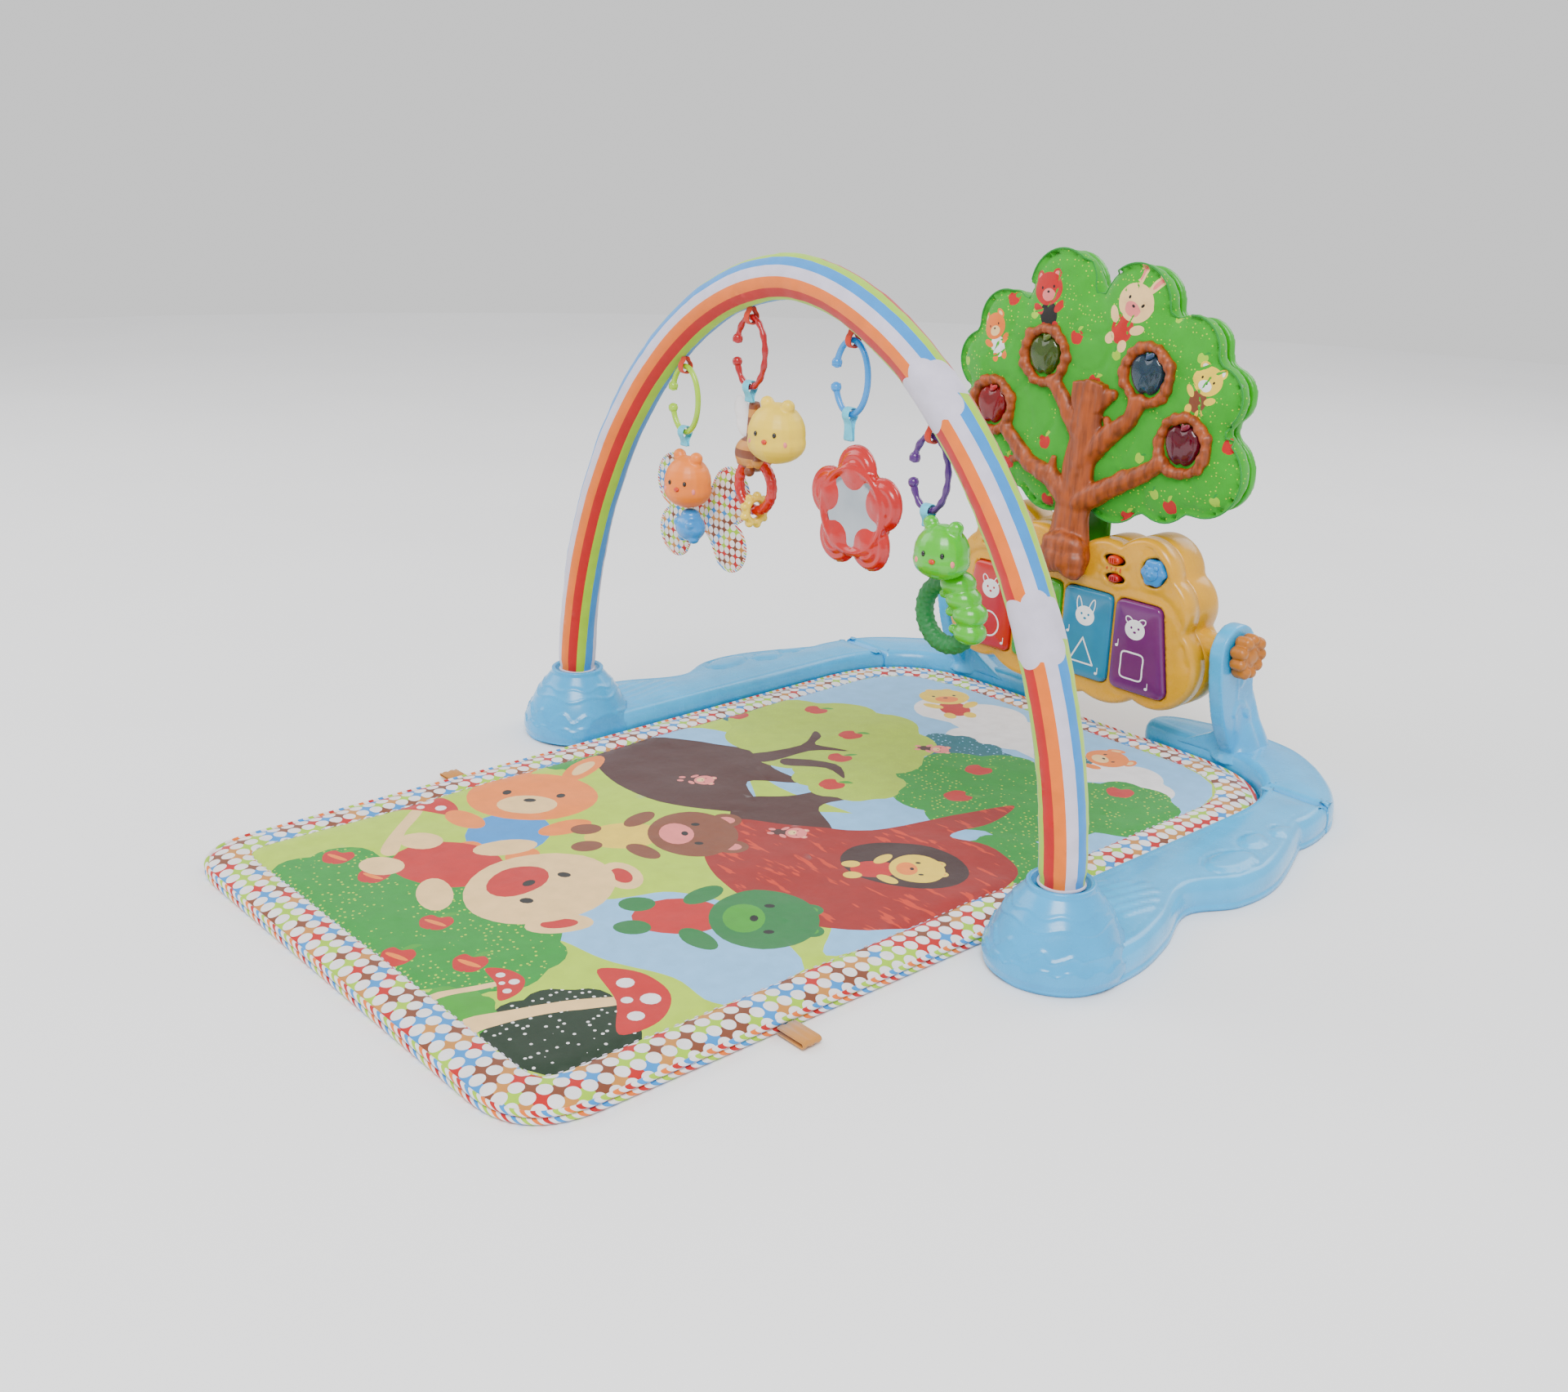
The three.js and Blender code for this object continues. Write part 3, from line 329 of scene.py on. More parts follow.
def bend(a, control, b, steps=10):
    """A quadratic curve from a to b."""
    return [tuple((1 - t) ** 2 * a[i] + 2 * t * (1 - t) * control[i] + t * t * b[i] for i in (0, 1))
            for t in np.linspace(0, 1, steps)]


def cloud(centre, lobes, count=120, floor=-1e9):
    """The outer edge of circles (x, y, radius), followed round a centre inside them."""
    cx, cy = centre
    out = []
    for angle in around(count):
        dx, dy = math.cos(angle), math.sin(angle)
        far = 0.0
        for x, y, r in lobes:
            along = (x - cx) * dx + (y - cy) * dy
            aside = (x - cx) * dy - (y - cy) * dx
            if abs(aside) < r:
                far = max(far, along + math.sqrt(r * r - aside * aside))
        out.append((cx + dx * far, max(cy + dy * far, floor)))
    return out


def flipped(outline):
    """The outline's mirror image, in the opposite order."""
    return [(-x, y) for x, y in reversed(outline)]


def resampled(outline, spacing):
    """The same closed outline with points at an even spacing."""
    ring = np.array(list(outline) + [outline[0]], float)
    length = np.concatenate([[0], np.cumsum(np.hypot(*np.diff(ring, axis=0).T))])
    count = max(8, round(length[-1] / spacing))
    at = np.linspace(0, length[-1], count, endpoint=False)
    return list(zip(np.interp(at, length, ring[:, 0]), np.interp(at, length, ring[:, 1])))


def inset(outline, distance):
    """Every point moved inwards (outline counter-clockwise) by the distance."""
    ring = np.array(outline, float)
    ahead = np.roll(ring, -1, axis=0) - np.roll(ring, 1, axis=0)
    ahead /= np.maximum(np.hypot(*ahead.T), 1e-9)[:, None]
    normal = np.stack([-ahead[:, 1], ahead[:, 0]], axis=1)
    return [tuple(p) for p in ring + normal * distance]


def inside(points, outline):
    """Which points lie inside a closed outline."""
    ring = np.array(outline, float)
    hit = np.zeros(len(points), bool)
    for (x1, y1), (x2, y2) in zip(ring, np.roll(ring, -1, axis=0)):
        crosses = (y1 > points[:, 1]) != (y2 > points[:, 1])
        if y1 != y2:
            at = x1 + (points[:, 1] - y1) * (x2 - x1) / (y2 - y1)
            hit ^= crosses & (points[:, 0] < at)
    return hit


def segment_distance(points, a, b):
    """How far each point lies from the straight line from a to b."""
    a, b = np.array(a, float), np.array(b, float)
    span = b - a
    share = np.clip((points - a) @ span / max(span @ span, 1e-9), 0, 1)
    return np.hypot(*(points - a - share[:, None] * span).T)


def edge_distance(points, outline):
    """How far each point lies from the nearest stretch of a closed outline."""
    ring = np.array(outline, float)
    best = np.full(len(points), 1e9)
    for a, b in zip(ring, np.roll(ring, -1, axis=0)):
        best = np.minimum(best, segment_distance(points, a, b))
    return best


# ------------------------------------------------------------------ meshes
def make(name, points, faces, looks, body, marks=None, smooth=True):
    """A mesh object that rides on a body; marks gives each face's index in looks."""
    mesh = bpy.data.meshes.new(name)
    mesh.from_pydata((np.array([tuple(p) for p in points], float) * MM).tolist(), [],
                     [tuple(f) for f in faces])
    for look in looks:
        mesh.materials.append(look)
    if marks is not None:
        mesh.polygons.foreach_set("material_index", np.array(marks, dtype=np.int32))
    mesh.polygons.foreach_set("use_smooth", [smooth] * len(mesh.polygons))
    made = bpy.data.objects.new(name, mesh)
    bpy.context.collection.objects.link(made)
    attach(made, body)
    return made


def weld(made, distance=0.02):
    """Merges doubled points and turns every face outwards."""
    shape = bmesh.new()
    shape.from_mesh(made.data)
    bmesh.ops.remove_doubles(shape, verts=shape.verts, dist=distance * MM)
    bmesh.ops.recalc_face_normals(shape, faces=shape.faces)
    shape.to_mesh(made.data)
    shape.free()
    return made


ROW_STEP = 0.866  # the height of an equilateral triangle with sides of 1


def cut_sheet(outline, prints, spacing, holes=(), rings=()):
    """Triangles that fill an outline and follow every printed edge in it.

    prints is a list of (mark, outline), the later ones on top. Returns the flat points, the
    triangles and the mark of each triangle.
    """
    ring = np.array(outline)
    low, high = ring.min(axis=0), ring.max(axis=0)
    rows = np.arange(low[1], high[1], spacing * ROW_STEP)
    grid = [(x + (i % 2) * spacing / 2, y) for i, y in enumerate(rows)
            for x in np.arange(low[0], high[0], spacing)]
    grid = np.array(grid)
    grid = grid[inside(grid, outline) & (edge_distance(grid, outline) > spacing * 0.5)]
    points, edges = list(map(tuple, grid)), []
    for loop in [outline, *holes, *rings, *[shape for _, shape in prints]]:
        first = len(points)
        points += [tuple(p) for p in loop]
        edges += [(first + i, first + (i + 1) % len(loop)) for i in range(len(loop))]
    found = delaunay_2d_cdt([Vector(p) for p in points], edges, [], 0, 1e-4)
    flat = np.array([tuple(v) for v in found[0]])
    faces = np.array([f for f in found[2] if len(f) == 3])
    middle = flat[faces].mean(axis=1)
    keep = inside(middle, outline)
    for hole in holes:
        keep &= ~inside(middle, hole)
    faces, middle = faces[keep], middle[keep]
    marks = np.zeros(len(faces), int)
    for mark, shape in prints:
        marks[inside(middle, shape)] = mark
    return flat, faces, marks


def printed(name, outline, prints, looks, body, spacing, lift, holes=(), rings=()):
    """A cut sheet bent into space: lift turns an array of flat points into an array of 3-D ones."""
    flat, faces, marks = cut_sheet(outline, prints, spacing, holes, rings)
    used = np.unique(faces)
    renumber = np.zeros(len(flat), int)
    renumber[used] = np.arange(len(used))
    return make(name, lift(flat[used]), renumber[faces], looks, body, marks)


def strips(loops):
    """Points and quads that join closed loops of equal length, one after the other."""
    points = [p for loop in loops for p in loop]
    count = len(loops[0])
    faces = []
    for k in range(len(loops) - 1):
        for i in range(count):
            j = (i + 1) % count
            faces.append((k * count + i, k * count + j, (k + 1) * count + j, (k + 1) * count + i))
    return points, faces


def capped(name, loops, crown, looks, body, spacing, lift, prints=(), holes=()):
    """A printed cover inside the crown outline, and the wall of loops that meets its edge."""
    cover = printed(name, crown, prints, looks, body, spacing, lift, holes)
    points, faces = strips(loops + [[tuple(p) for p in lift(np.array(crown))]])
    return cover, make(name + "_wall", points, faces, looks[:1], body)


def merge(target, *others):
    """Joins the other objects' meshes into the first one, keeping their materials."""
    shape = bmesh.new()
    looks = list(target.data.materials)
    for made in (target, *others):
        for look in made.data.materials:
            if look not in looks:
                looks.append(look)
        first = len(shape.faces)
        shape.from_mesh(made.data)
        shape.faces.ensure_lookup_table()
        own = [looks.index(look) for look in made.data.materials]
        for face in shape.faces[first:]:
            face.material_index = own[face.material_index]
    target.data.materials.clear()
    for look in looks:
        target.data.materials.append(look)
    shape.to_mesh(target.data)
    shape.free()
    for made in others:
        bpy.data.objects.remove(made)
    return target


def freeze(made):
    """Applies the modifiers of an object to its mesh."""
    graph = bpy.context.evaluated_depsgraph_get()
    mesh = bpy.data.meshes.new_from_object(made.evaluated_get(graph))
    made.modifiers.clear()
    made.data = mesh
    return made


def remesh(made, voxel):
    """Adds a modifier that rebuilds a mesh from cubes of this size in millimetres."""
    cubes = made.modifiers.new("remesh", "REMESH")
    cubes.mode = "VOXEL"
    cubes.voxel_size = voxel * MM


def paint(mesh, look):
    """Leaves a mesh with this one material."""
    mesh.materials.clear()
    mesh.materials.append(look)


def smooth_faces(made):
    made.data.polygons.foreach_set("use_smooth", [True] * len(made.data.polygons))
    return made


# ------------------------------------------------------------------ soft organic bodies
def unit_ball(around=20, along=12):
    """Points and faces of a ball of radius 1."""
    points = [(0.0, 0.0, 1.0)]
    for i in range(1, along):
        b = math.pi * i / along
        points += [(math.sin(b) * math.cos(2 * math.pi * k / around),
                    math.sin(b) * math.sin(2 * math.pi * k / around), math.cos(b))
                   for k in range(around)]
    points.append((0.0, 0.0, -1.0))
    faces = [(0, 1 + k, 1 + (k + 1) % around) for k in range(around)]
    for i in range(along - 2):
        a = 1 + i * around
        faces += [(a + k, a + around + k, a + around + (k + 1) % around, a + (k + 1) % around)
                  for k in range(around)]
    last, base = len(points) - 1, 1 + (along - 2) * around
    return np.array(points), faces + [(last, base + (k + 1) % around, base + k) for k in range(around)]


BALL = unit_ball()


class Clay:
    """Balls, rods, rings and slabs that are melted into one smooth moulded body."""

    def __init__(self):
        self.points, self.faces, self.count = [], [], 0

    def add(self, points, faces):
        self.points.append(points)
        self.faces += [tuple(i + self.count for i in face) for face in faces]
        self.count += len(points)
        return self

    def ball(self, x, y, z, rx, ry=None, rz=None, turn=0.0):
        """An ellipsoid, turned about the Y axis."""
        c, s = math.cos(math.radians(turn)), math.sin(math.radians(turn))
        u, v, w = (BALL[0] * (rx, ry or rx, rz or rx)).T
        return self.add(np.column_stack([x + u * c + w * s, y + v, z - u * s + w * c]), BALL[1])

    def rod(self, start, end, r1, r2=None, balls=True):
        """A tapered rod between two points, with round ends if wanted."""
        r2 = r2 or r1
        a, b = np.array(start, float), np.array(end, float)
        along = (b - a) / np.linalg.norm(b - a)
        first = np.cross(along, (0.0, 0.0, 1.0) if abs(along[2]) < 0.9 else (1.0, 0.0, 0.0))
        first /= np.linalg.norm(first)
        second = np.cross(along, first)
        turns = around(20)
        rim = np.outer(np.cos(turns), first) + np.outer(np.sin(turns), second)
        sides = [(i, (i + 1) % 20, 20 + (i + 1) % 20, 20 + i) for i in range(20)]
        caps = [tuple(range(19, -1, -1)), tuple(range(20, 40))]
        self.add(np.vstack([a + rim * r1, b + rim * r2]), sides + caps)
        if balls:
            self.ball(*a, r1)
            self.ball(*b, r2)
        return self

    def ring(self, x, y, z, radius, tube, count=40):
        """A torus that faces the foot end."""
        points, faces = [], []
        for i in range(count):
            a = 2 * math.pi * i / count
            for k in range(12):
                b = math.pi * k / 6
                r = radius + tube * math.cos(b)
                points.append((x + r * math.cos(a), y + tube * math.sin(b), z + r * math.sin(a)))
                j, n = (i + 1) % count, (k + 1) % 12
                faces.append((i * 12 + k, j * 12 + k, j * 12 + n, i * 12 + n))
        return self.add(np.array(points), faces)

    def slab(self, outline, start, end, axes="xz"):
        """An outline given thickness along the axis that it leaves out."""
        place = {"xz": (0, 2, 1), "xy": (0, 1, 2), "yz": (1, 2, 0)}[axes]
        count = len(outline)
        points = np.zeros((2 * count, 3))
        points[:, place[0]] = [p[0] for p in outline] * 2
        points[:, place[1]] = [p[1] for p in outline] * 2
        points[:, place[2]] = [start] * count + [end] * count
        faces = [(i, (i + 1) % count, count + (i + 1) % count, count + i) for i in range(count)]
        return self.add(points, faces + [tuple(range(count))[::-1], tuple(range(count, 2 * count))])

    def melt(self, name, look, body, voxel=1.6, rounds=4, relief=None):
        """One smooth mesh of all the parts, with an optional relief on its surface."""
        made = make(name, np.vstack(self.points), self.faces, [look], body)
        remesh(made, voxel)
        relax = made.modifiers.new("relax", "SMOOTH")
        relax.factor = 0.5
        relax.iterations = rounds
        freeze(made)
        paint(made.data, look)
        if relief:
            raise_by(made, relief)
        return smooth_faces(made)


def raise_by(made, relief):
    """Moves every point of a mesh along its normal by relief(points, normals), in millimetres."""
    points = np.array([v.co for v in made.data.vertices]) / MM
    normals = np.array([v.normal for v in made.data.vertices])
    moved = points + normals * relief(points, normals)[:, None]
    made.data.vertices.foreach_set("co", (moved * MM).ravel())
    made.data.update()


def noise_at(points, size):
    """Smooth noise for every point; size is one number or one for each axis, in millimetres."""
    return np.array([noise.noise(Vector(p)) for p in points / np.array(size, float)])


CLOTH_FRAMES = 20


def stuffed(name, loops, front, back, look, body, cap, pressure, voxel):
    """A stuffed pad: loops from its front to its back, closed by a middle point at each end."""
    points, faces = strips(loops)
    count, end = len(loops[0]), len(points)
    faces += [(i, end, (i + 1) % count) for i in range(count)]
    faces += [(end - count + (i + 1) % count, end + 1, end - count + i) for i in range(count)]
    pad = billow(weld(make(name, points + [front, back], faces, [look], body)), cap, pressure, voxel)
    paint(pad.data, look)
    return pad


def billow(made, cap, pressure, voxel):
    """Puffs a stuffed fabric body up by a short cloth simulation; no point moves beyond the cap."""
    remesh(made, voxel)
    freeze(made)
    start = [v.co.copy() for v in made.data.vertices]
    cloth = made.modifiers.new("cloth", "CLOTH")
    cloth.settings.use_pressure = True
    cloth.settings.uniform_pressure_force = pressure
    cloth.settings.effector_weights.gravity = 0
    for step in range(1, CLOTH_FRAMES + 1):
        bpy.context.scene.frame_set(step)
    freeze(made)
    for vertex, before in zip(made.data.vertices, start):
        moved = vertex.co - before
        if moved.length > cap * MM:
            vertex.co = before + moved.normalized() * cap * MM
    bpy.context.scene.frame_set(1)
    finer = made.modifiers.new("finer", "SUBSURF")
    finer.levels = finer.render_levels = 1
    freeze(made)
    return smooth_faces(made)


# ------------------------------------------------------------------ the frame's sizes
def node_box(name):
    """A CAD node's lowest and highest corner in millimetres."""
    return tuple(tuple(c / MM for c in corner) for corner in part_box(name))


def joint(name):
    """Where a hinge turns, in millimetres."""
    found = next(j for j in frame["record"]["behaviour"]["joints"] if j["name"] == name)
    return tuple(c / MM for c in found["pos_m"])


# ------------------------------------------------------------------ printed motifs
def spun(x, y, size, turn):
    """Places the points (u, v) of a motif of this size that is turned about (x, y)."""
    c, s = math.cos(math.radians(turn)), math.sin(math.radians(turn))
    return lambda u, v: (x + (u * c - v * s) * size, y + (u * s + v * c) * size)


def apple(x, y, size, fruit, leaf, turn=0.0):
    """An apple with a leaf: prints as (mark, outline) pairs."""
    at = spun(x, y, size, turn)
    body = blob(at(0, 0.72), at(0.6, 0.95), at(1.02, 0.3), at(0.7, -0.7), at(0.15, -0.95), at(0, -0.85),
                at(-0.15, -0.95), at(-0.7, -0.7), at(-1.02, 0.3), at(-0.6, 0.95))
    return [(fruit, body),
            (leaf, blob(at(0, 0.85), at(0.35, 1.5), at(0.95, 1.55), at(0.5, 1.0), steps=4))]


def critter(x, y, size, turn, coat, face, ink, ears="round", shirt=None):
    """A small plain animal lying on its back: a body, a round head with two ears, and dots."""
    at = spun(x, y, size, turn)

    def spot(u, v, rx, ry=None, tilt=0.0, count=20):
        return ellipse(*at(u, v), rx * size, (ry or rx) * size, turn + tilt, count)

    shapes = {"round": (0.62, 0.72, 0.3, 0.3, 0), "long": (0.5, 1.25, 0.22, 0.62, 14),
              "point": (0.72, 0.72, 0.24, 0.4, -38), "none": (0.35, 0.75, 0.2, 0.2, 0)}
    u, v, rx, ry, tilt = shapes[ears]
    prints = [(shirt or coat, spot(0, -1.35, 0.6, 0.75)), (coat, spot(-0.75, -1.0, 0.22, 0.42, 50)),
              (coat, spot(0.75, -1.0, 0.22, 0.42, -50)), (coat, spot(-0.4, -2.05, 0.24, 0.3)),
              (coat, spot(0.4, -2.05, 0.24, 0.3))]
    for side in (-1, 1):
        prints += [(coat, spot(side * u, v, rx, ry, -side * tilt)),
                   (face, spot(side * u, v, rx * 0.5, ry * 0.55, -side * tilt))]
    prints += [(coat, spot(0, 0, 1.0, 0.88, count=32)), (face, spot(0, -0.32, 0.46, 0.34))]
    for side in (-1, 1):
        prints.append((ink, spot(side * 0.42, 0.08, 0.07, 0.09, count=10)))
    return prints + [(ink, spot(0, -0.16, 0.1, 0.07, count=10))]


def toadstool(x, y, size, turn, cap, stalk, dot):
    """A toadstool with a dotted cap: prints as (mark, outline) pairs."""
    at = spun(x, y, size, turn)
    prints = [(stalk, blob(at(-0.12, 0.1), at(0.14, 0.1), at(0.2, -1.2), at(0.45, -2.4), at(0.05, -2.4),
                           at(-0.1, -1.2))),
              (cap, blob(at(-1, -0.05), at(-0.75, 0.62), at(0, 0.95), at(0.75, 0.62), at(1, -0.05),
                         at(0, 0.08)))]
    for u, v, r in ((-0.5, 0.32, 0.15), (0.05, 0.62, 0.17), (0.52, 0.3, 0.14), (0.02, 0.25, 0.1)):
        prints.append((dot, ellipse(*at(u, v), r * size, count=12)))
    return prints


def bush(centre, radii, count=40):
    """A leafy outline with bumps all the way round."""
    lobes = [(centre[0], centre[1], min(radii) * 0.9)]
    steps = 9
    for i in range(steps):
        angle = 2 * math.pi * i / steps
        lobes.append((centre[0] + radii[0] * 0.66 * math.cos(angle),
                      centre[1] + radii[1] * 0.66 * math.sin(angle), min(radii) * 0.42))
    return cloud(centre, lobes, count)


# ------------------------------------------------------------------ mat
MAT_BORDER = 34
MAT_ROLL = 22  # width over which the padding falls off towards the edge
MAT_SEAM_DEPTH = 1.6

MAT_LOOKS = {
    "lime": woven("mat_lime", "print_lime"), "white": woven("mat_white", "white"),
    "stars": starry("mat_border_stars", "XY", 12.0), "river": woven("mat_river", "print_blue"),
    "bush": dotted("mat_bush", "print_green", "print_lime", 5.0, 0.2),
    "dark": dotted("mat_dark_bush", "print_dark", "white", 6.0, 0.2),
    "teal": dotted("mat_teal_bush", "print_teal", "print_blue", 5.5, 0.18),
    "crown": dotted("mat_tree_crown", "tree_lime", "print_lime", 4.0, 0.2),
    "brown": woven("mat_trunk", "print_brown"),
    "log": hatched("mat_log", "print_rust", "rust", (0.35, 1.4, 1.0)),
    "hole": woven("mat_log_hole", "print_hole"), "red": woven("mat_red", "red"),
    "orange": woven("mat_orange", "peach"), "cream": woven("mat_cream", "cream"),
    "mole": woven("mat_mole", "mole"), "frog": woven("mat_frog", "teether"),
    "yellow": woven("mat_yellow", "butter"), "pink": woven("mat_pink", "print_pink"),
    "ink": woven("mat_ink", "ink"), "blue": woven("mat_blue", "blue"),
    "leaf": woven("mat_leaf", "key_green"),
}
MAT_MARK = {name: i for i, name in enumerate(MAT_LOOKS)}


def mat_outline():
    """Small round corners at the foot end and wide ones at the head end."""
    low, high = node_box("play_mat")
    half, foot, head, taper = high[0], 58, 118, 6
    steps = np.linspace(0, 1, 12)
    ring = [(half - taper - foot * (1 - t) ** 2, low[1] + foot * t * t) for t in steps]
    ring += [(half - head * t * t, high[1] - head * (1 - t) ** 2) for t in steps]
    return resampled(ring + flipped(ring), 7)


def mat_prints():
    """The woodland scene, from the ground up, as (mark, outline) pairs."""
    prints = [("river", blob((-220, 150), (-190, 320), (0, 356), (190, 320), (212, 160), (206, 40),
                             (120, 30), (40, 20), (-60, 10), (-150, 60)))]
    prints += [("white",
                cloud((-30, 270), [(-90, 275, 34), (-50, 288, 40), (0, 276, 40), (50, 268, 30),
                                   (-20, 240, 30)], 72)),
               ("white", cloud((134, 262), [(105, 258, 24), (135, 276, 28), (162, 262, 24)], 56))]
    prints += [("river", blob((-20, -60), (60, 40), (150, 60), (206, 0), (206, -160), (170, -130),
                              (120, -90), (60, -60))),
               ("river", blob((-215, 30), (-150, 60), (-90, 10), (-20, -40), (-60, -70), (-140, -50),
                              (-212, -30))),
               ("river", blob((60, -190), (110, -170), (206, -190), (206, -262), (160, -268),
                              (110, -290), (66, -300), (20, -330), (10, -280), (40, -230)))]
    prints += [("teal", bush((-206, 120), (34, 44))), ("teal", bush((0, 200), (62, 36))),
               ("bush", bush((85, 150), (105, 84), 64)), ("bush", bush((165, 205), (52, 66), 50)),
               ("bush", bush((180, 60), (42, 40))), ("dark", bush((-196, -40), (34, 40))),
               ("bush", bush((-206, -90), (26, 40)))]
    prints += [("brown", blob((-206, -6), (-150, 34), (-105, 60), (-84, 34), (-40, 30), (-70, -6),
                              (-20, -40), (-70, -90), (-150, -96), (-206, -70))),
               ("brown", blob((-10, 66), (14, 50), (10, 6), (52, -20), (40, -66), (-20, -66),
                              (-44, -30), (-22, 10))), ("crown", bush((-108, 128), (110, 88), 70)),
               ("crown", bush((-22, 70), (58, 44), 46)),
               ("brown", blob((-120, 36), (-108, 92), (-128, 128), (-112, 122), (-100, 104), (-70, 118),
                              (-92, 88), (-96, 36), steps=4)),
               ("brown", blob((-92, 60), (-52, 84), (-22, 66), (-50, 70), (-80, 46), steps=4))]
    prints += [("log", blob((-18, -70), (30, -30), (70, 10), (96, 96), (112, 140), (124, 96), (120, 50),
                            (160, 60), (206, 30), (208, -90), (150, -150), (70, -150), (10, -120))),
               ("hole", ellipse(134, -18, 52, 40, 24, 36))]
    for x, y, size, turn in ((-206, 96, 11, 30), (-170, 168, 11, 10), (-98, 146, 11, 0),
                             (-62, 98, 11, 20), (-20, 48, 11, 0), (38, 176, 12, 10), (66, 118, 12, -20),
                             (150, 238, 12, 30)):
        prints += apple(x, y, size, "red", "leaf", turn)
    prints += [("bush", bush((-60, -372), (128, 66), 80)), ("bush", bush((40, -350), (66, 60), 50)),
               ("dark", bush((166, -362), (46, 52))), ("leaf", bush((104, -404), (34, 26)))]
    for x, y in ((-150, -356), (-104, -350), (-8, -352), (58, -364), (20, -398)):
        prints += apple(x, y, 12, "red", "leaf", 40)
        prints.append(("orange", ellipse(x, y, 10, 2.4, 20, 12)))
    prints += toadstool(158, -318, 42, -26, "red", "cream", "white")
    prints += toadstool(92, -366, 22, -20, "red", "cream", "white")
    prints += toadstool(-192, -264, 34, 40, "red", "cream", "white")
    prints += critter(-158, -172, 56, 42, "orange", "cream", "ink", "long", "blue")
    prints += critter(-10, -262, 62, -66, "cream", "red", "ink", "point", "red")
    prints += critter(-14, -112, 42, -34, "mole", "pink", "ink", "round", "yellow")
    prints += critter(134, -164, 46, -42, "frog", "leaf", "ink", "none", "red")
    prints += critter(146, -16, 25, -40, "yellow", "orange", "ink", "none", "red")
    prints += critter(-118, 300, 26, 60, "yellow", "orange", "ink", "none", "red")
    prints += critter(92, 296, 22, -30, "orange", "cream", "ink", "point", "teal")
    for x, y in ((36, -44), (-96, -34), (-20, 188)):
        prints += critter(x, y, 10, -50, "pink", "cream", "ink", "round", "brown")
    return [(MAT_MARK[look], shape) for look, shape in prints]


def build_mat():
    height = node_box("play_mat")[1][2]
    outline = mat_outline()
    rim = height * 0.55
    inner = inset(outline, MAT_BORDER)
    field = [(MAT_MARK["lime"], inner)] + mat_prints()

    def clipped(shape):
        """A printed shape kept inside the border."""
        points = np.array(shape)
        out = ~inside(points, inner)
        if out.any():
            ring = np.array(inner)
            for i in np.where(out)[0]:
                points[i] = ring[np.argmin(np.hypot(*(ring - points[i]).T))]
        return [tuple(p) for p in points]

    field = [(mark, clipped(shape)) for mark, shape in field]

    def lift(flat):
        edge = edge_distance(flat, outline)
        seam = edge_distance(flat, inner)
        rise = np.sin(np.clip(edge / MAT_ROLL, 0, 1) * math.pi / 2) ** 0.6
        quilt = np.array([noise.noise(Vector((x / 62, y / 62, 0.3))) for x, y in flat])
        fine = np.array([noise.noise(Vector((x / 19, y / 19, 4.1))) for x, y in flat])
        top = rim + (height + 1.5 - rim) * rise
        top += (1.7 * quilt + 0.5 * fine) * np.clip(edge / 30, 0, 1)
        top -= MAT_SEAM_DEPTH * np.exp(-(seam / 2.6) ** 2)
        return np.column_stack([flat, top])

    looks = list(MAT_LOOKS.values())
    cover = printed("mat_cover", outline, [(MAT_MARK["stars"], outline)] + field, looks, "base", 9,
                    lift, rings=[inset(outline, d) for d in (1.5, 4, 8, 14)])
    points, faces = strips([[(x, y, z) for x, y in inset(outline, d)]
                            for d, z in ((0, rim), (1.0, 2.0), (7, 0.4))])
    side = make("mat_side", points, faces + [tuple(range(2 * len(outline), 3 * len(outline)))],
                [starry("mat_side_stars", "side", 12.0)], "base")
    mat = weld(merge(cover, side), 0.05)
    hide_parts("play_mat")
    piping = striped_cord("mat_piping")
    for name, level in (("mat_piping_top", rim + 1.4), ("mat_piping_bottom", 2.4)):
        ring = [(x, y, level) for x, y in inset(outline, 0.2)]
        tube(name, ring, 2.0, piping, "base", closed=True)
    stitches = lift(np.array(resampled(inner, 4)))
    dashes("mat_seam_stitches", stitches, 0.5, woven("mat_thread", "lavender"), "base", lift=0.7)
    for node_name in ("mat_tab_right", "mat_tab_left"):
        build_tab(node_name)


def build_tab(node_name):
    """A folded ribbon tab with a rounded fold."""
    low, high = node_box(node_name)
    side = 1 if low[0] > 0 else -1
    x1, x2 = (low[0], high[0]) if side > 0 else (high[0], low[0])
    profile = []
    for t in np.linspace(-90, 90, 9):
        a = math.radians(t)
        profile.append((x2 - side * 1.5 + side * 1.5 * math.cos(a),
                        (low[2] + high[2]) / 2 + 1.5 * math.sin(a)))
    path = [(x1 - side * 3, low[2])] + profile + [(x1 - side * 3, high[2])]
    y1, y2 = low[1] + 1, high[1] - 1
    points = [(x, y, z + 0.5 * math.sin(y)) for y in np.linspace(y1, y2, 9) for x, z in path]
    count = len(path)
    faces = [(r * count + i, r * count + i + 1, (r + 1) * count + i + 1, (r + 1) * count + i)
             for r in range(8) for i in range(count - 1)]
    tab = make(node_name.replace("mat_", "ribbon_"), points, faces,
               [woven(node_name + "_ribbon", "tan")], "base")
    thick = tab.modifiers.new("thickness", "SOLIDIFY")
    thick.thickness = 0.8 * MM
    freeze(tab)
    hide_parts(node_name)


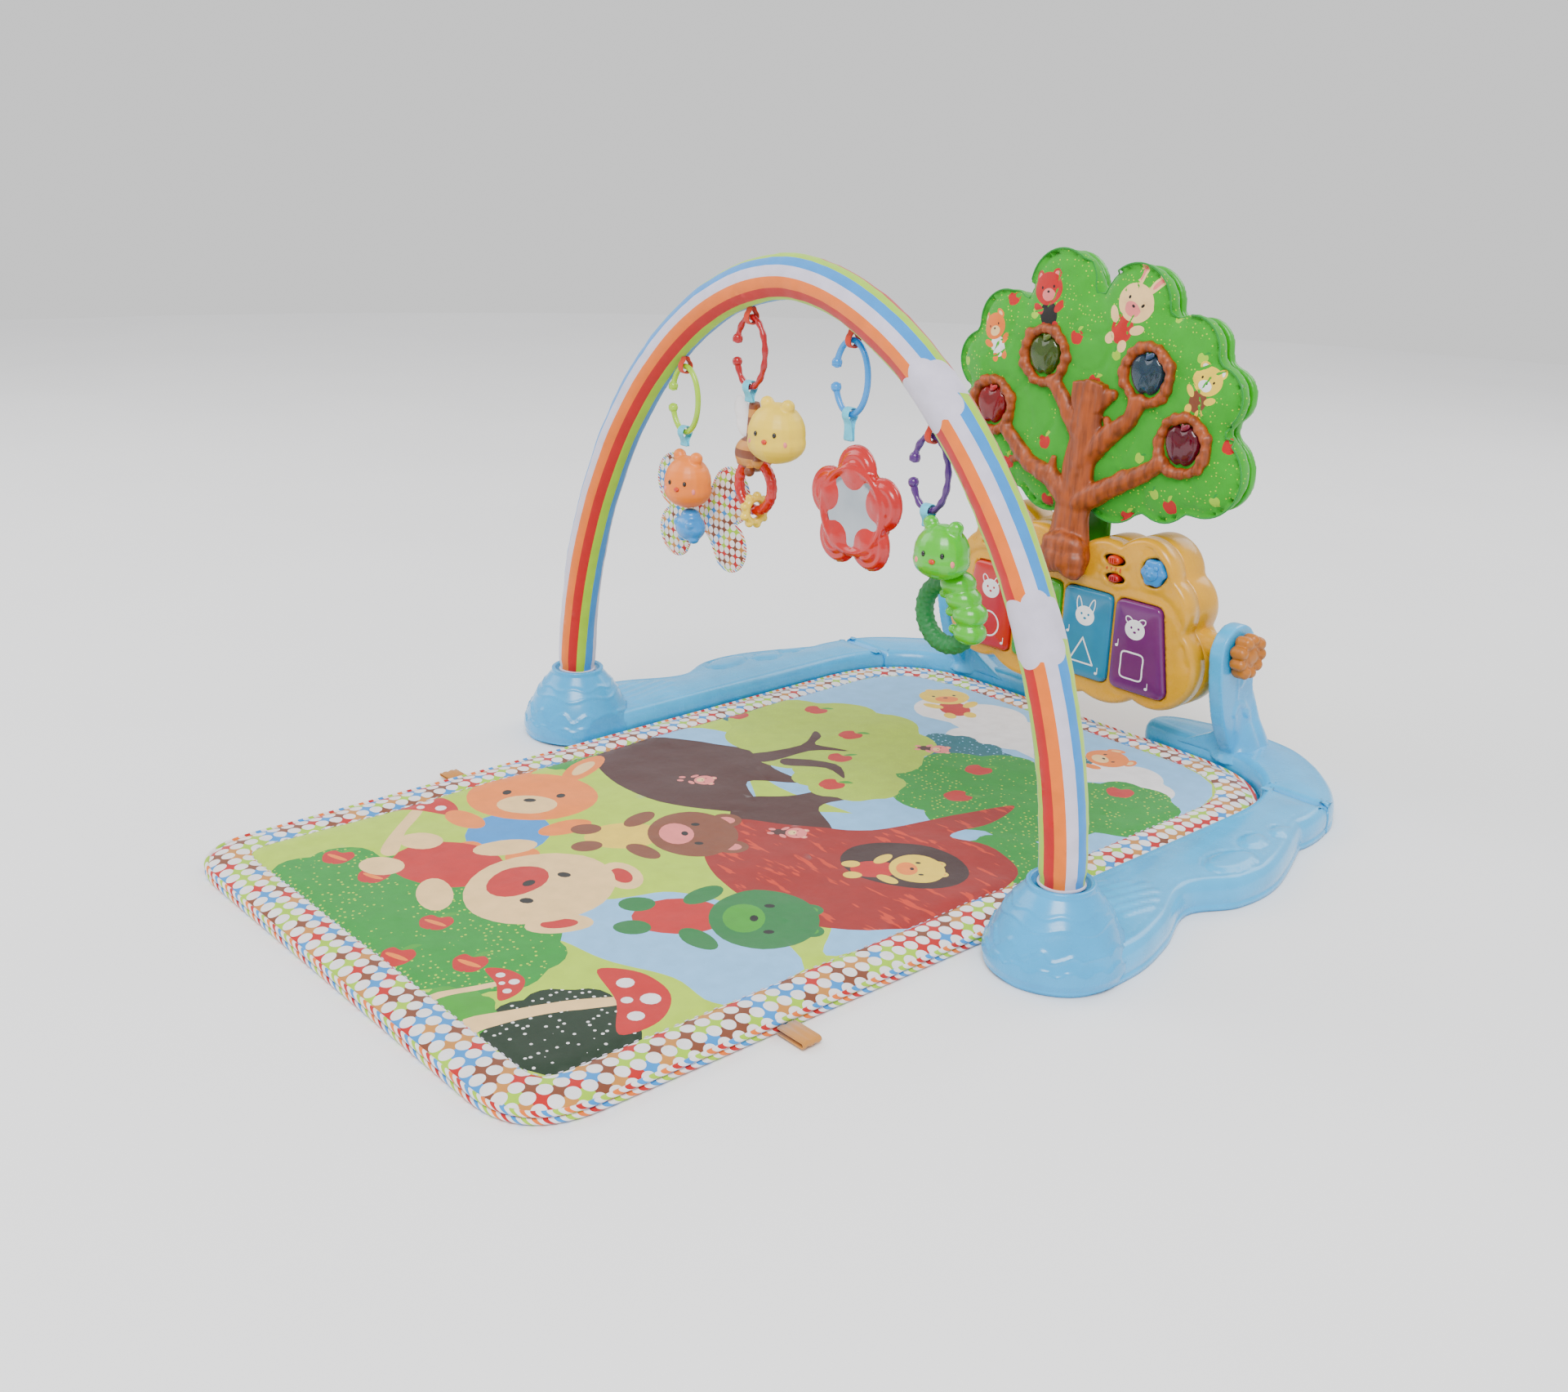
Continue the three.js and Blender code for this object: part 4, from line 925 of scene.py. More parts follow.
# ------------------------------------------------------------------ cords, bands and stitches
def tube(name, path, radius, look, body, closed=False, radii=None):
    """A round tube through the points, with its own thickness at each one if given."""
    data = bpy.data.curves.new(name, "CURVE")
    data.dimensions = "3D"
    data.bevel_depth = radius * MM
    data.bevel_resolution = 5
    data.use_fill_caps = True
    spline = data.splines.new("POLY" if closed or len(path) > 24 else "BEZIER")
    if spline.type == "POLY":
        spline.points.add(len(path) - 1)
        for point, place in zip(spline.points, path):
            point.co = (*(Vector(place) * MM), 1)
    else:
        spline.bezier_points.add(len(path) - 1)
        for point, place in zip(spline.bezier_points, path):
            point.co = Vector(place) * MM
            point.handle_left_type = point.handle_right_type = "AUTO"
    spline.use_cyclic_u = closed
    if radii:
        target = spline.points if spline.type == "POLY" else spline.bezier_points
        for point, factor in zip(target, radii):
            point.radius = factor
    curve = bpy.data.objects.new(name, data)
    bpy.context.collection.objects.link(curve)
    graph = bpy.context.evaluated_depsgraph_get()
    mesh = bpy.data.meshes.new_from_object(curve.evaluated_get(graph))
    bpy.data.objects.remove(curve)
    made = bpy.data.objects.new(name, mesh)
    bpy.context.collection.objects.link(made)
    paint(mesh, look)
    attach(made, body)
    return smooth_faces(made)


def dashes(name, path, radius, look, body, lift=0.0, axis=2):
    """A row of short stitches along a closed path."""
    points, faces = [], []
    for a, b in zip(path[::2], path[1::2]):
        a, b = Vector(a), Vector(b)
        along = (b - a).normalized()
        up = Vector((0, 0, 0))
        up[axis] = 1
        across = along.cross(up).normalized()
        first = len(points)
        for end in (a + along * 0.3, (a + b) / 2, b - along * 0.3):
            swell = 1.0 if end == (a + b) / 2 else 0.55
            for k in range(6):
                angle = math.pi * k / 3
                points.append(end + (across * math.cos(angle) + up * math.sin(angle)) * radius * swell
                              + up * lift)
        for r in range(2):
            for k in range(6):
                j = (k + 1) % 6
                faces.append((first + r * 6 + k, first + r * 6 + j, first + r * 6 + 6 + j,
                              first + r * 6 + 6 + k))
        faces += [tuple(first + k for k in range(6))[::-1], tuple(first + 12 + k for k in range(6))]
    return make(name, points, faces, [look], body)


def band(name, path, width, thickness, look, body):
    """A flat ribbon that follows (y, z) points and is as wide as given along X, about x = path x."""
    points = [(x + side * width / 2 * pinch, y, z) for x, y, z, pinch in path
              for side in (-1, -0.5, 0, 0.5, 1)]
    faces = [(r * 5 + i, r * 5 + i + 1, r * 5 + 6 + i, r * 5 + 5 + i) for r in range(len(path) - 1)
             for i in range(4)]
    made = make(name, points, faces, [look], body)
    thick = made.modifiers.new("thickness", "SOLIDIFY")
    thick.thickness = thickness * MM
    thick.offset = 0
    round_off = made.modifiers.new("round", "SUBSURF")
    round_off.levels = round_off.render_levels = 1
    return smooth_faces(freeze(made))


# ------------------------------------------------------------------ base wings and uprights
ARCH_SPAN, ARCH_Y, ARCH_RIM, ARCH_RISE = 295, -30, 63, 387
PIVOT_Y, PIVOT_Z = 364, 123
DOME_INNER_X = 249.6  # the dome is flat here, beside the mat
LEFT = "left"


RECESS_SIDE, RECESS_HEAD, RECESS_CORNER = 249.5, 378.5, 257.0  # the base's edge beside the mat
WING_END = 330  # where a wing meets its upright


def beside_mat(towards_head):
    """The base's inner edge along the mat's rounded corner, from the seam to one end."""
    reach = RECESS_HEAD - RECESS_CORNER
    seam = 1 - math.sqrt(1 - (WING_END - RECESS_CORNER) / reach)
    ends = np.linspace(seam, 1 if towards_head else 0, 12)
    return [(RECESS_SIDE - reach * t * t, RECESS_CORNER + reach * (2 * t - t * t)) for t in ends]


def wing_outline():
    edge = spline([(249.5, -40), (268, -68), (303, -79), (338, -55), (344, 0), (333, 52), (313, 106),
                   (331, 150), (330, 205), (303, 282)])
    edge += bend((303, 282), (306, 300), (299, 329.6))
    return resampled(edge + beside_mat(False), 3.2)


def upright_outline():
    edge = bend((299, 330.4), (294, 366), (243, 410))
    edge += spline([(243, 410), (205, 433), (150, 439.6), (100, 427)])
    edge += bend((100, 427), (66, 418), (66, 396)) + bend((66, 396), (66, 381), (82, 381))
    return resampled(edge + list(reversed(beside_mat(True))), 3.2)


PEBBLES = [((308, 168), 15, 27, -8), ((298, 214), 11, 17, 10), ((301, 252), 9, 14, 0)]
BLADES = [((262, 24), (270, 60)), ((268, 20), (281, 74)), ((277, 22), (292, 82)),
          ((288, 24), (301, 78)), ((300, 26), (309, 68)), ((311, 24), (315, 56))]
SLOTS = [((258, 60), (258, 86)), ((259, -44), (272, -56))]


def ridge(distance, width):
    """A round bump of height 1 that fades out over the width."""
    return np.exp(-(distance / width) ** 2)


def wing_relief(flat):
    """Pebbles, grass blades and slots on a wing's top, as a height in millimetres."""
    rise = np.zeros(len(flat))
    for centre, rx, ry, turn in PEBBLES:
        shape = ellipse(*centre, rx, ry, turn, 40)
        away = edge_distance(flat, shape)
        rise -= 1.5 * ridge(away, 1.3)
        rise += np.where(inside(flat, shape), 1.6 * np.clip(away / 6, 0, 1) ** 0.6, 0)
    for a, b in BLADES:
        rise += 1.3 * ridge(segment_distance(flat, a, b), 2.0)
    for a, b in SLOTS:
        rise -= 2.6 * ridge(segment_distance(flat, a, b), 2.2)
    return rise


def shell(name, outline, relief, look, body, side, hole=None, top=27.0, bulge=1.6):
    """A puffed tray with a thin lip round its foot; relief is added to its crown."""
    rows = [(0.0, 0.4), (0.0, 3.4), (0.9, 4.4), (1.3, 5.2), (0.5, 6.8), (0.3, 12), (0.9, 17),
            (2.3, 20.8), (4.6, 23.6), (7.6, 25.4)]
    loops = [[(x, y, z) for x, y in inset(outline, d)] for d, z in rows]
    crown = inset(outline, 11)

    def lift(flat):
        away = edge_distance(flat, crown)
        height = top - 1.1 - bulge * 0.6 + bulge * np.clip(away / 16, 0, 1) ** 0.7
        return np.column_stack([flat, height + relief(flat)])

    cover, wall = capped(name, loops, crown, [look], body, 3.4, lift, holes=[hole] if hole else [])
    inner = [[(x, y, z) for x, y in inset(outline, 2.6)] for z in (0.4, 12)]
    rim_points, rim_faces = strips([loops[0], inner[0], inner[1]])
    rim = make(name + "_rim", rim_points, [f[::-1] for f in rim_faces], [look], body)
    made = weld(merge(cover, wall, rim), 0.08)
    if side == LEFT:
        mirror(made)
    return made


def mirror(made):
    """Turns a right-hand mesh into the left-hand one."""
    shape = bmesh.new()
    shape.from_mesh(made.data)
    bmesh.ops.scale(shape, vec=(-1, 1, 1), verts=shape.verts)
    bmesh.ops.reverse_faces(shape, faces=shape.faces)
    shape.to_mesh(made.data)
    shape.free()
    return made


def build_dome(side):
    """The socket dome: it flares down to the lip, with a collar, cloud lines and wavy grass."""
    profile = spline([(50.6, 2.4), (50.2, 8), (49.4, 15), (47.6, 22), (44.8, 30), (40.6, 39),
                      (35.4, 47.5), (29.6, 55), (25.2, 60.6)], 8)
    outside = len(profile)
    profile += [(24.6, 62.2), (24.6, 64.2), (23.9, 65), (21.6, 65), (20.7, 64.2), (20.5, 58.3),
                (11.2, 58.2), (11, 22)]
    loops = []
    for index, (radius, z) in enumerate(profile):
        loop = []
        for step in range(144):
            a = 2 * math.pi * step / 144
            out = 0.0
            if index < outside:
                blades = 24 + 5.5 * abs(math.sin(6.5 * a)) + 2.2 * math.sin(11 * a + 1)
                second = 15 + 4.0 * abs(math.sin(8 * a + 0.7))
                lines = (43 + 1.8 * math.sin(6 * a), 51 + 1.4 * math.sin(8 * a + 2))
                out += (1.0 if z < blades else 0.0) + 0.8 * math.exp(-((z - blades) / 1.2) ** 2)
                out += (0.9 if z < second else 0.0) + 0.6 * math.exp(-((z - second) / 1.2) ** 2)
                out += sum(0.9 * math.exp(-((z - line) / 1.1) ** 2) for line in lines)
                out *= min(1.0, max(0.0, (z - 4) / 5)) * min(1.0, (62 - z) / 6)
            x = max(ARCH_SPAN + (radius + out) * math.cos(a), DOME_INNER_X)
            loop.append((x, ARCH_Y + (radius + out) * math.sin(a), z))
        loops.append(loop)
    points, faces = strips(loops)
    look = moulded("dome_plastic_" + side, "dome", 0.25, 0.35)
    made = weld(make("socket_dome_" + side, points, faces, [look], "base"))
    if side == LEFT:
        mirror(made)
    return made


def build_wing(side, look):
    outline = wing_outline()
    hole = ellipse(ARCH_SPAN, ARCH_Y, 44, count=60)
    name = "wing_" + side
    wing = shell(name, outline, wing_relief, look, "base", side, hole)
    dome = build_dome(side)
    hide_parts(f"base_{side}_wing")
    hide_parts(f"base_{side}_wing")


LEAVES = [(372, 88, 60), (372, 74, -20), (368, 60, 70), (382, 66, -35), (366, 100, 35)]


def leaf_relief(points, normals):
    """A sprig of leaves on the outer face of a post."""
    flat = points[:, 1:]
    rise = 0.9 * ridge(segment_distance(flat, (374, 44), (368, 104)), 1.3)
    for y, z, turn in LEAVES:
        a = math.radians(turn)
        shape = ellipse(y + 9 * math.cos(a), z + 9 * math.sin(a), 9, 4.2, turn, 18)
        bump = 1.3 * np.clip(edge_distance(flat, shape) / 2.2, 0, 1) ** 0.6
        rise = np.where(inside(flat, shape), np.maximum(rise, bump), rise)
    facing = np.clip((np.abs(normals[:, 0]) - 0.8) / 0.15, 0, 1)
    return np.where((points[:, 2] > 44) & (points[:, 2] < 112), rise * facing, 0.0)


def post_outline():
    start = [(383.5, 4), (383.5, 14)] + bend((383.5, 14), (344.5, 50), (337.5, PIVOT_Z), 14)
    top = [(PIVOT_Y - 26.5 * math.cos(a), PIVOT_Z + 26.5 * math.sin(a))
           for a in np.linspace(0, math.pi, 24)]
    return start + top[1:-1] + bend((390.5, PIVOT_Z), (397.5, 50), (430, 4), 14)


def build_upright(side, look):
    foot = shell("foot_" + side, upright_outline(), lambda flat: np.zeros(len(flat)), look, "base",
                 side)
    clay = Clay().slab(post_outline(), 159.4, 173.6, "yz")
    for y in (396, 410):
        clay.rod((167, y, 12), (167, y, 28), 27, 18, balls=False)
        clay.rod((167, y, 28), (167, y - 4, 50), 18, 10, balls=False)
        clay.rod((167, y - 4, 50), (167, y - 12, 80), 10, 5, balls=False)
    clay.slab([(108, 16), (164, 16), (164, 72), (157, 50), (145, 35), (126, 25)], 378, 394)
    post = clay.melt("post_" + side, look, "base", 1.7, 7, leaf_relief)
    if side == LEFT:
        mirror(post)
    for made in (foot, post):
        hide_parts(f"base_{side}_upright")


def build_knob(side):
    body = "pivot_knob_" + side
    outer = 175.9
    clay = Clay().rod((167, PIVOT_Y, PIVOT_Z), (178, PIVOT_Y, PIVOT_Z), 6.8, balls=False)
    for step in range(9):
        a = 2 * math.pi * step / 9
        y, z = PIVOT_Y + 15.6 * math.cos(a), PIVOT_Z + 15.6 * math.sin(a)
        clay.rod((outer + 3.6, y, z), (outer + 9.6, y, z), 5.6 + 0.7 * math.sin(step * 2.3))
    clay.rod((outer + 0.6, PIVOT_Y, PIVOT_Z), (outer + 11.6, PIVOT_Y, PIVOT_Z), 15.5, 13.5, balls=False)
    clay.ball(outer + 11.2, PIVOT_Y, PIVOT_Z, 3.4, 8, 8)

    def rough(points, normals):
        return np.where(points[:, 0] > outer, 0.5 * noise_at(points, 5), 0.0)

    knob = clay.melt("knob_" + side, moulded("knob_plastic_" + side, "wood", 0.4, 0.15, 0.08), body,
                     0.9, 4, rough)
    if side == LEFT:
        mirror(knob)
    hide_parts(body)


# ------------------------------------------------------------------ arch
STRIPE = 28.8  # degrees round the sleeve
SLEEVE_RADIUS = 17.3
SLEEVE_CLOUDS = [(0.316, 80), (0.161, 60)]  # (share of the arch, degrees round it)


def arch_point(t):
    """The arch's centre line at a share t of the way from its right foot to its left one."""
    angle = math.pi * t
    c, s = math.cos(angle), math.sin(angle)
    return Vector((ARCH_SPAN * math.copysign(abs(c) ** 1.077, c), ARCH_Y,
                   ARCH_RIM + ARCH_RISE * abs(s) ** 1.094))


def arch_steps():
    """Places along the arch: (share of the way, length so far)."""
    shares = np.linspace(0, 1, 400)
    spots = [arch_point(t) for t in shares]
    length = np.concatenate([[0], np.cumsum([(b - a).length for a, b in zip(spots, spots[1:])])])
    return shares, length


def stripe_turn(t):
    """How far round the sleeve the red stripe has wound at a share t of the arch, in degrees."""
    return 86 + 42 * t + 175 * t * t - 177 * t ** 3


def build_sleeve():
    shares, length = arch_steps()
    total = length[-1]
    unit = 2 * math.pi * SLEEVE_RADIUS / 360

    def flat_at(t, degrees):
        return (float(np.interp(t, shares, length)), float(np.clip(degrees, -90, 270)) * unit)

    outline = [flat_at(t, -90) for t in np.linspace(0, 1, 240)]
    outline += [flat_at(1, d) for d in range(-84, 266, 6)]
    outline += [flat_at(t, 270) for t in np.linspace(1, 0, 240)]
    outline += [flat_at(0, d) for d in range(264, -90, -6)]
    colours = ["red", "lime", "blue", "lavender", "orange"]
    looks = [woven("sleeve_" + c, c) for c in colours] + [woven("sleeve_patch", "lavender")]
    prints = []
    steps = np.linspace(0, 1, 160)
    for index in range(-8, 14):
        low, high = ([flat_at(t, stripe_turn(t) + STRIPE * (index + side)) for t in steps]
                     for side in (-0.5, 0.5))
        if max(h[1] - l[1] for h, l in zip(high, low)) > 0.5:
            prints.append((index % 5, low + high[::-1]))
    for t, degrees in SLEEVE_CLOUDS:
        s, c = flat_at(t, degrees)
        lobes = [(s, c, 15), (s - 4, c + 17, 14), (s + 5, c - 17, 14), (s + 15, c - 6, 11),
                 (s + 13, c + 12, 11), (s - 14, c - 10, 11), (s - 15, c + 8, 10), (s + 2, c + 31, 11),
                 (s, c - 31, 11)]
        prints.append((5, cloud((s, c), lobes, 72)))

    def lift(flat):
        out = []
        for s, c in flat:
            t = float(np.interp(s, length, shares))
            here = arch_point(t)
            along = (arch_point(min(1, t + 0.002)) - arch_point(max(0, t - 0.002))).normalized()
            side = Vector((-along.z, 0, along.x))
            degrees = c / unit
            a = math.radians(degrees)
            outward = -side * math.cos(a) + Vector((0, -1, 0)) * math.sin(a)
            fold = noise.noise(Vector((s / 46, degrees / 46, 2))) * 0.7
            fold += noise.noise(Vector((s / 9, degrees / 90, 7))) * 0.45
            hem = 0.8 * math.exp(-((min(s, total - s) - 5) / 1.6) ** 2)
            seam = 0.9 * math.exp(-((degrees - 178 + 8 * t) / 4) ** 2) if t > 0.5 else 0.0
            pull = 1.2 * math.exp(-min(s, total - s) / 5)
            out.append(here + outward * (SLEEVE_RADIUS + fold - hem - seam - pull))
        return np.array(out)

    sleeve = printed("arch_cover", outline, prints, looks, "arch", 5.2, lift)
    weld(sleeve, 0.05)
    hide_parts("arch_sleeve")
    for t, name in ((0.0, "right"), (1.0, "left")):
        ring = [lift(np.array([[total * t, d * unit]]))[0] for d in range(-90, 270, 15)]
        hem = tube("arch_hem_" + name, ring, 1.3, woven("sleeve_hem_" + name, "lavender"), "arch",
                   closed=True)


# ------------------------------------------------------------------ links, loops and ribbons
TOYS = ["butterfly", "bee", "flower", "grub"]  # the toy on each link, from link 1 on


def build_link(number, colour, bumpy):
    """A split ring whose two ends are round knobs; its body is turned or twisted if bumpy."""
    name, body = f"link_{number}", TOYS[number - 1] + "_link"
    x, y, z = joint(body + "_swing")
    path, radii = [], []
    for a in np.linspace(166, -166, 60):
        angle = math.radians(a)
        path.append((x + 17 * math.cos(angle), y, z - 27 + 27 * math.sin(angle)))
        near = min(abs(a - 166), abs(a + 166))
        knob = 1.75 * math.exp(-((near - 3) / 5.5) ** 2)
        radii.append(1.0 + knob * 0.45 + (0.16 * math.sin(math.radians(a * 14)) if bumpy else 0.0))
    look = moulded(name + "_plastic", colour, 0.22, 0.35)
    ring = tube("split_" + name, path, 2.35, look, body, radii=radii)
    tips = Clay()
    for end in (path[1], path[-2]):
        tips.ball(*end, 4.1)
    smooth_faces(merge(ring, tips.melt(name + "_tips", look, body, 0.7, 2)))
    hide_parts(name)


def build_loop(number):
    """The short fabric loop that is sewn to the sleeve and holds a link."""
    x, y, z = joint(TOYS[number - 1] + "_link_swing")
    path = []
    for a in np.linspace(60, -240, 21):
        angle = math.radians(a)
        path.append((x, y + 5.4 * math.cos(angle), z + 5.4 * math.sin(angle), 1.0))
    path = [(x, y + 1.6, z + 8.4, 1.05), *path, (x, y - 1.6, z + 8.4, 1.05)]
    loop = band(f"sewn_loop_{number}", path, 6.2, 1.1, woven(f"loop_{number}_webbing", "rust"), "arch")
    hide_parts(f"toy_loop_{number}")


def build_ribbon(number, length):
    """The satin ribbon that is looped round a link's lower bar and sewn to a toy."""
    toy = TOYS[number - 1]
    x, y, z = joint(toy + "_swing")
    path = [(x, y + 1.0, z - length, 1.25), (x, y + 1.0, z - length * 0.75, 1.05),
            (x, y + 1.6, z - 7.2, 0.9)]
    for a in np.linspace(-50, 230, 15):
        angle = math.radians(a)
        path.append((x, y + 5.2 * math.cos(angle), z + 5.2 * math.sin(angle), 0.85))
    path += [(x, y - 1.6, z - 7.2, 0.9), (x, y - 1.0, z - length * 0.75, 1.05),
             (x, y - 1.0, z - length, 1.25)]
    look = Look(f"ribbon_{number}_satin", "ribbon", Sheen_Weight=0.4, Sheen_Roughness=0.3)
    rib = look.node("TexWave", {"Vector": look.place}, Scale=1 / (1.2 * MM),
                    Distortion=0.4).outputs["Fac"]
    look.colour(look.ramp(look.noise(7), [(0.3, tinted("ribbon", 0.9)), (0.7, tinted("ribbon", 1.15))]))
    look.roughness(look.noise(4), 0.32, 0.5)
    look.bump(rib, 0.1, 0.5)
    ribbon = band(f"satin_{number}", path, 9, 0.9, look.material, toy)
    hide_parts(f"ribbon_{number}")


# ------------------------------------------------------------------ piano
PIANO_FRONT, PIANO_SPLIT, PIANO_REAR = 330, 350, 384
PIANO_LOBES = [(s * x, z, r) for s in (-1, 1)
               for x, z, r in ((84, 179, 36), (104, 152, 34), (104, 102, 46), (50, 104, 56),
                               (42, 160, 46), (0, 140, 50), (0, 112, 66))]
KEYS = (
    ("key_red", "red", (-113, -62), (-124, -62), "ring"),
    ("key_green", "key_green", (-58, -2), (-58, -2), "star"),
    ("key_blue", "teal", (2, 58), (2, 58), "triangle"),
    ("key_purple", "purple", (62, 113), (62, 124), "square"),
)
BUTTON = (97, 186)
SLIDERS = (("volume_switch", "rust", 53, 189, 7, 4.5, "switch_orange"),
           ("mode_switch", "crimson", 55, 172, 6, 4, "switch_red"))


def key_outline(top, bottom, grow=0.0, corner=9):
    left, right, low, high = bottom[0], bottom[1], 70, 156
    ring = bend((right - corner, low), (right, low), (right, low + corner), 7)
    ring += bend((top[1], high - corner), (top[1], high), (top[1] - corner, high), 7)
    ring += bend((top[0] + corner, high), (top[0], high), (top[0], high - corner), 7)
    ring += bend((left, low + corner), (left, low), (left + corner, low), 7)
    return inset(resampled(ring, 3.0), -grow)


def windows():
    """The openings of the casing's front."""
    holes = [key_outline(top, bottom, 0.8) for _, _, top, bottom, _ in KEYS]
    holes.append(ellipse(*BUTTON, 13.8, count=40))
    holes += [ellipse(x, z, half + 5.6, high + 0.8, count=30) for _, _, x, z, half, high, _ in SLIDERS]
    return holes


def grille():
    """The slots in front of the speaker."""
    rows = []
    for dz in (-12, -6, 0, 6, 12):
        half = math.sqrt(16 ** 2 - dz * dz) * 0.9
        rows.append(slot_outline(-BUTTON[0], BUTTON[1] + dz, half, 1.4))
    return rows


def slot_outline(x, z, half, radius):
    """A level slot with round ends."""
    right = [(x + half + radius * math.cos(a), z + radius * math.sin(a))
             for a in np.linspace(-1.57, 1.57, 6)]
    left = [(x - half + radius * math.cos(a), z + radius * math.sin(a))
            for a in np.linspace(1.57, 4.71, 6)]
    return resampled(right + left, 1.6)


CREASES = [((118, 176), (92, 205), (70, 214)), ((134, 140), (118, 160), (98, 166)),
           ((150, 100), (137, 118), (136, 150)), ((142, 78), (132, 66), (112, 60))]
SWIRLS = [((30, 176), 8), ((-30, 176), 8), ((132, 128), 7), ((-132, 128), 7), ((128, 92), 6),
          ((-128, 92), 6), ((16, 206), 5), ((-62, 204), 6)]


def piano_relief(flat):
    """Creases between the cloud's lobes, swirls, and soft rims round every window."""
    rise = np.zeros(len(flat))
    for side in (1, -1):
        for line in CREASES:
            curve = spline([(side * x, z) for x, z in line], 5)
            for a, b in zip(curve, curve[1:]):
                rise = np.minimum(rise, -1.7 * ridge(segment_distance(flat, a, b), 2.4))
    for (x, z), size in SWIRLS:
        u, v = flat[:, 0] - x, flat[:, 1] - z
        r, a = np.hypot(u, v), np.arctan2(v, u)
        rise += np.where(r < size, 0.55 * np.sin(a + r * 1.5) * (1 - r / size), 0)
    for hole in windows():
        away = edge_distance(flat, hole)
        rise += 0.9 * ridge(away - 2.6, 1.6) - 0.5 * ridge(away - 6.5, 1.6)
    return rise


def casing_half(name, node_name, front, holes, relief, look):
    """One half of the cloud-shaped casing, with round shoulders and a seam lip."""
    outline = resampled(cloud((0, 130), PIANO_LOBES, 420, 48), 3.0)
    face, split = (PIANO_FRONT, PIANO_SPLIT - 0.3) if front else (PIANO_REAR, PIANO_SPLIT + 0.3)
    sign = 1 if front else -1
    rows = [(1.2, split), (0.1, split - sign * 0.9), (0.0, face + sign * 8.5), (0.5, face + sign * 5.2),
            (1.9, face + sign * 2.4), (4.2, face + sign * 0.8)]
    loops = [[(x, y, z) for x, z in inset(outline, d)] for d, y in rows]
    crown = inset(outline, 7)

    def lift(flat):
        height = relief(flat)
        puff = 1.2 * np.clip(edge_distance(flat, crown) / 12, 0, 1) ** 0.7
        return np.column_stack([flat[:, 0], face + sign * (0.9 - puff * 0.7 - height), flat[:, 1]])

    cover, *parts = capped(name, loops, crown, [look], "piano", 3.6, lift, holes=holes)
    for index, hole in enumerate(holes):
        edge = [tuple(p) for p in lift(np.array(hole))]
        deep = [(x, y + sign * 3.4, z) for x, y, z in edge]
        points, faces = strips([edge, deep])
        parts.append(make(f"{name}_reveal_{index}", points, faces, [look], "piano"))
    made = weld(merge(cover, *parts), 0.08)
    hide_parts(node_name)
    return made


def rear_relief(flat):
    """Speaker slots and the groove of the battery door."""
    rise = np.zeros(len(flat))
    for row in range(5):
        z = 176 + row * 6
        rise -= 1.4 * ridge(segment_distance(flat, (-118, z), (-78, z)), 1.3)
    rise -= 1.2 * ridge(edge_distance(flat, [(-50, 74), (50, 74), (50, 142), (-50, 142)]), 1.2)
    return rise


def pillow(name, outline, front, height, look, body, prints=(), looks=(), depth=6.0):
    """A raised key or button: steep round sides and a gently domed, printed top."""
    rows = [(0.0, front + depth), (0.0, front - height + 3.0), (0.35, front - height + 1.7),
            (1.1, front - height + 0.8)]
    loops = [[(x, y, z) for x, z in inset(outline, d)] for d, y in rows]
    crown = inset(outline, 2.4)

    def lift(flat):
        away = np.clip(edge_distance(flat, crown) / 14, 0, 1)
        return np.column_stack([flat[:, 0], front - height + 0.35 - 1.5 * away ** 0.6, flat[:, 1]])

    return weld(merge(*capped(name, loops, crown, [look, *looks], body, 3.2, lift, prints)), 0.05)


def line_loop(outline, width):
    """A printed line that follows a closed outline: the outer shape, then the inner one."""
    return [(1, outline), (0, inset(outline, width))]


def key_print(x, shape):
    """A white animal doodle, one plain shape and two small notes, as (mark, outline) pairs."""
    head = ellipse(x, 131, 11, 9.5, count=30)
    prints = []
    for side in (-1, 1):
        lean, length = {"ring": (30, 6), "star": (0, 9), "triangle": (14, 10), "square": (60, 5)}[shape]
        ear = ellipse(x + side * 7, 139, 3.4, length, -side * lean, 18)
        prints += line_loop(ear, 1.1)
    prints.append((1, head))
    prints += [(0, ellipse(x + side * 4, 132.5, 1.3, count=10)) for side in (-1, 1)]
    prints += [(0, ellipse(x, 128.5, 1.8, 1.2, count=10))]
    figures = {
        "ring": ellipse(x, 95, 13.5, count=40),
        "star": blob(*[(x + r * math.sin(a), 95 + r * math.cos(a)) for r, a in
                       ((15 if i % 2 == 0 else 7.5, math.pi * i / 5) for i in range(10))], steps=3),
        "triangle": resampled([(x - 15, 84), (x + 15, 84), (x, 111)], 2.4),
        "square": blob((x - 12, 84), (x, 82.5), (x + 12, 84), (x + 13, 96), (x + 12, 108), (x, 109.5),
                       (x - 12, 108), (x - 13, 96), steps=4),
    }
    prints += line_loop(figures[shape], 1.6)
    for nx, nz in ((x - 19, 112), (x + 18, 78)):
        prints += [(1, ellipse(nx, nz, 1.9, 1.4, 20, 10)),
                   (1, [(nx + 1.1, nz), (nx + 1.8, nz), (nx + 1.8, nz + 6), (nx + 1.1, nz + 6)])]
    return prints


def ccw(outline):
    """The outline in anticlockwise order."""
    area = sum(a[0] * b[1] - b[0] * a[1] for a, b in zip(outline, outline[1:] + outline[:1]))
    return outline if area > 0 else outline[::-1]


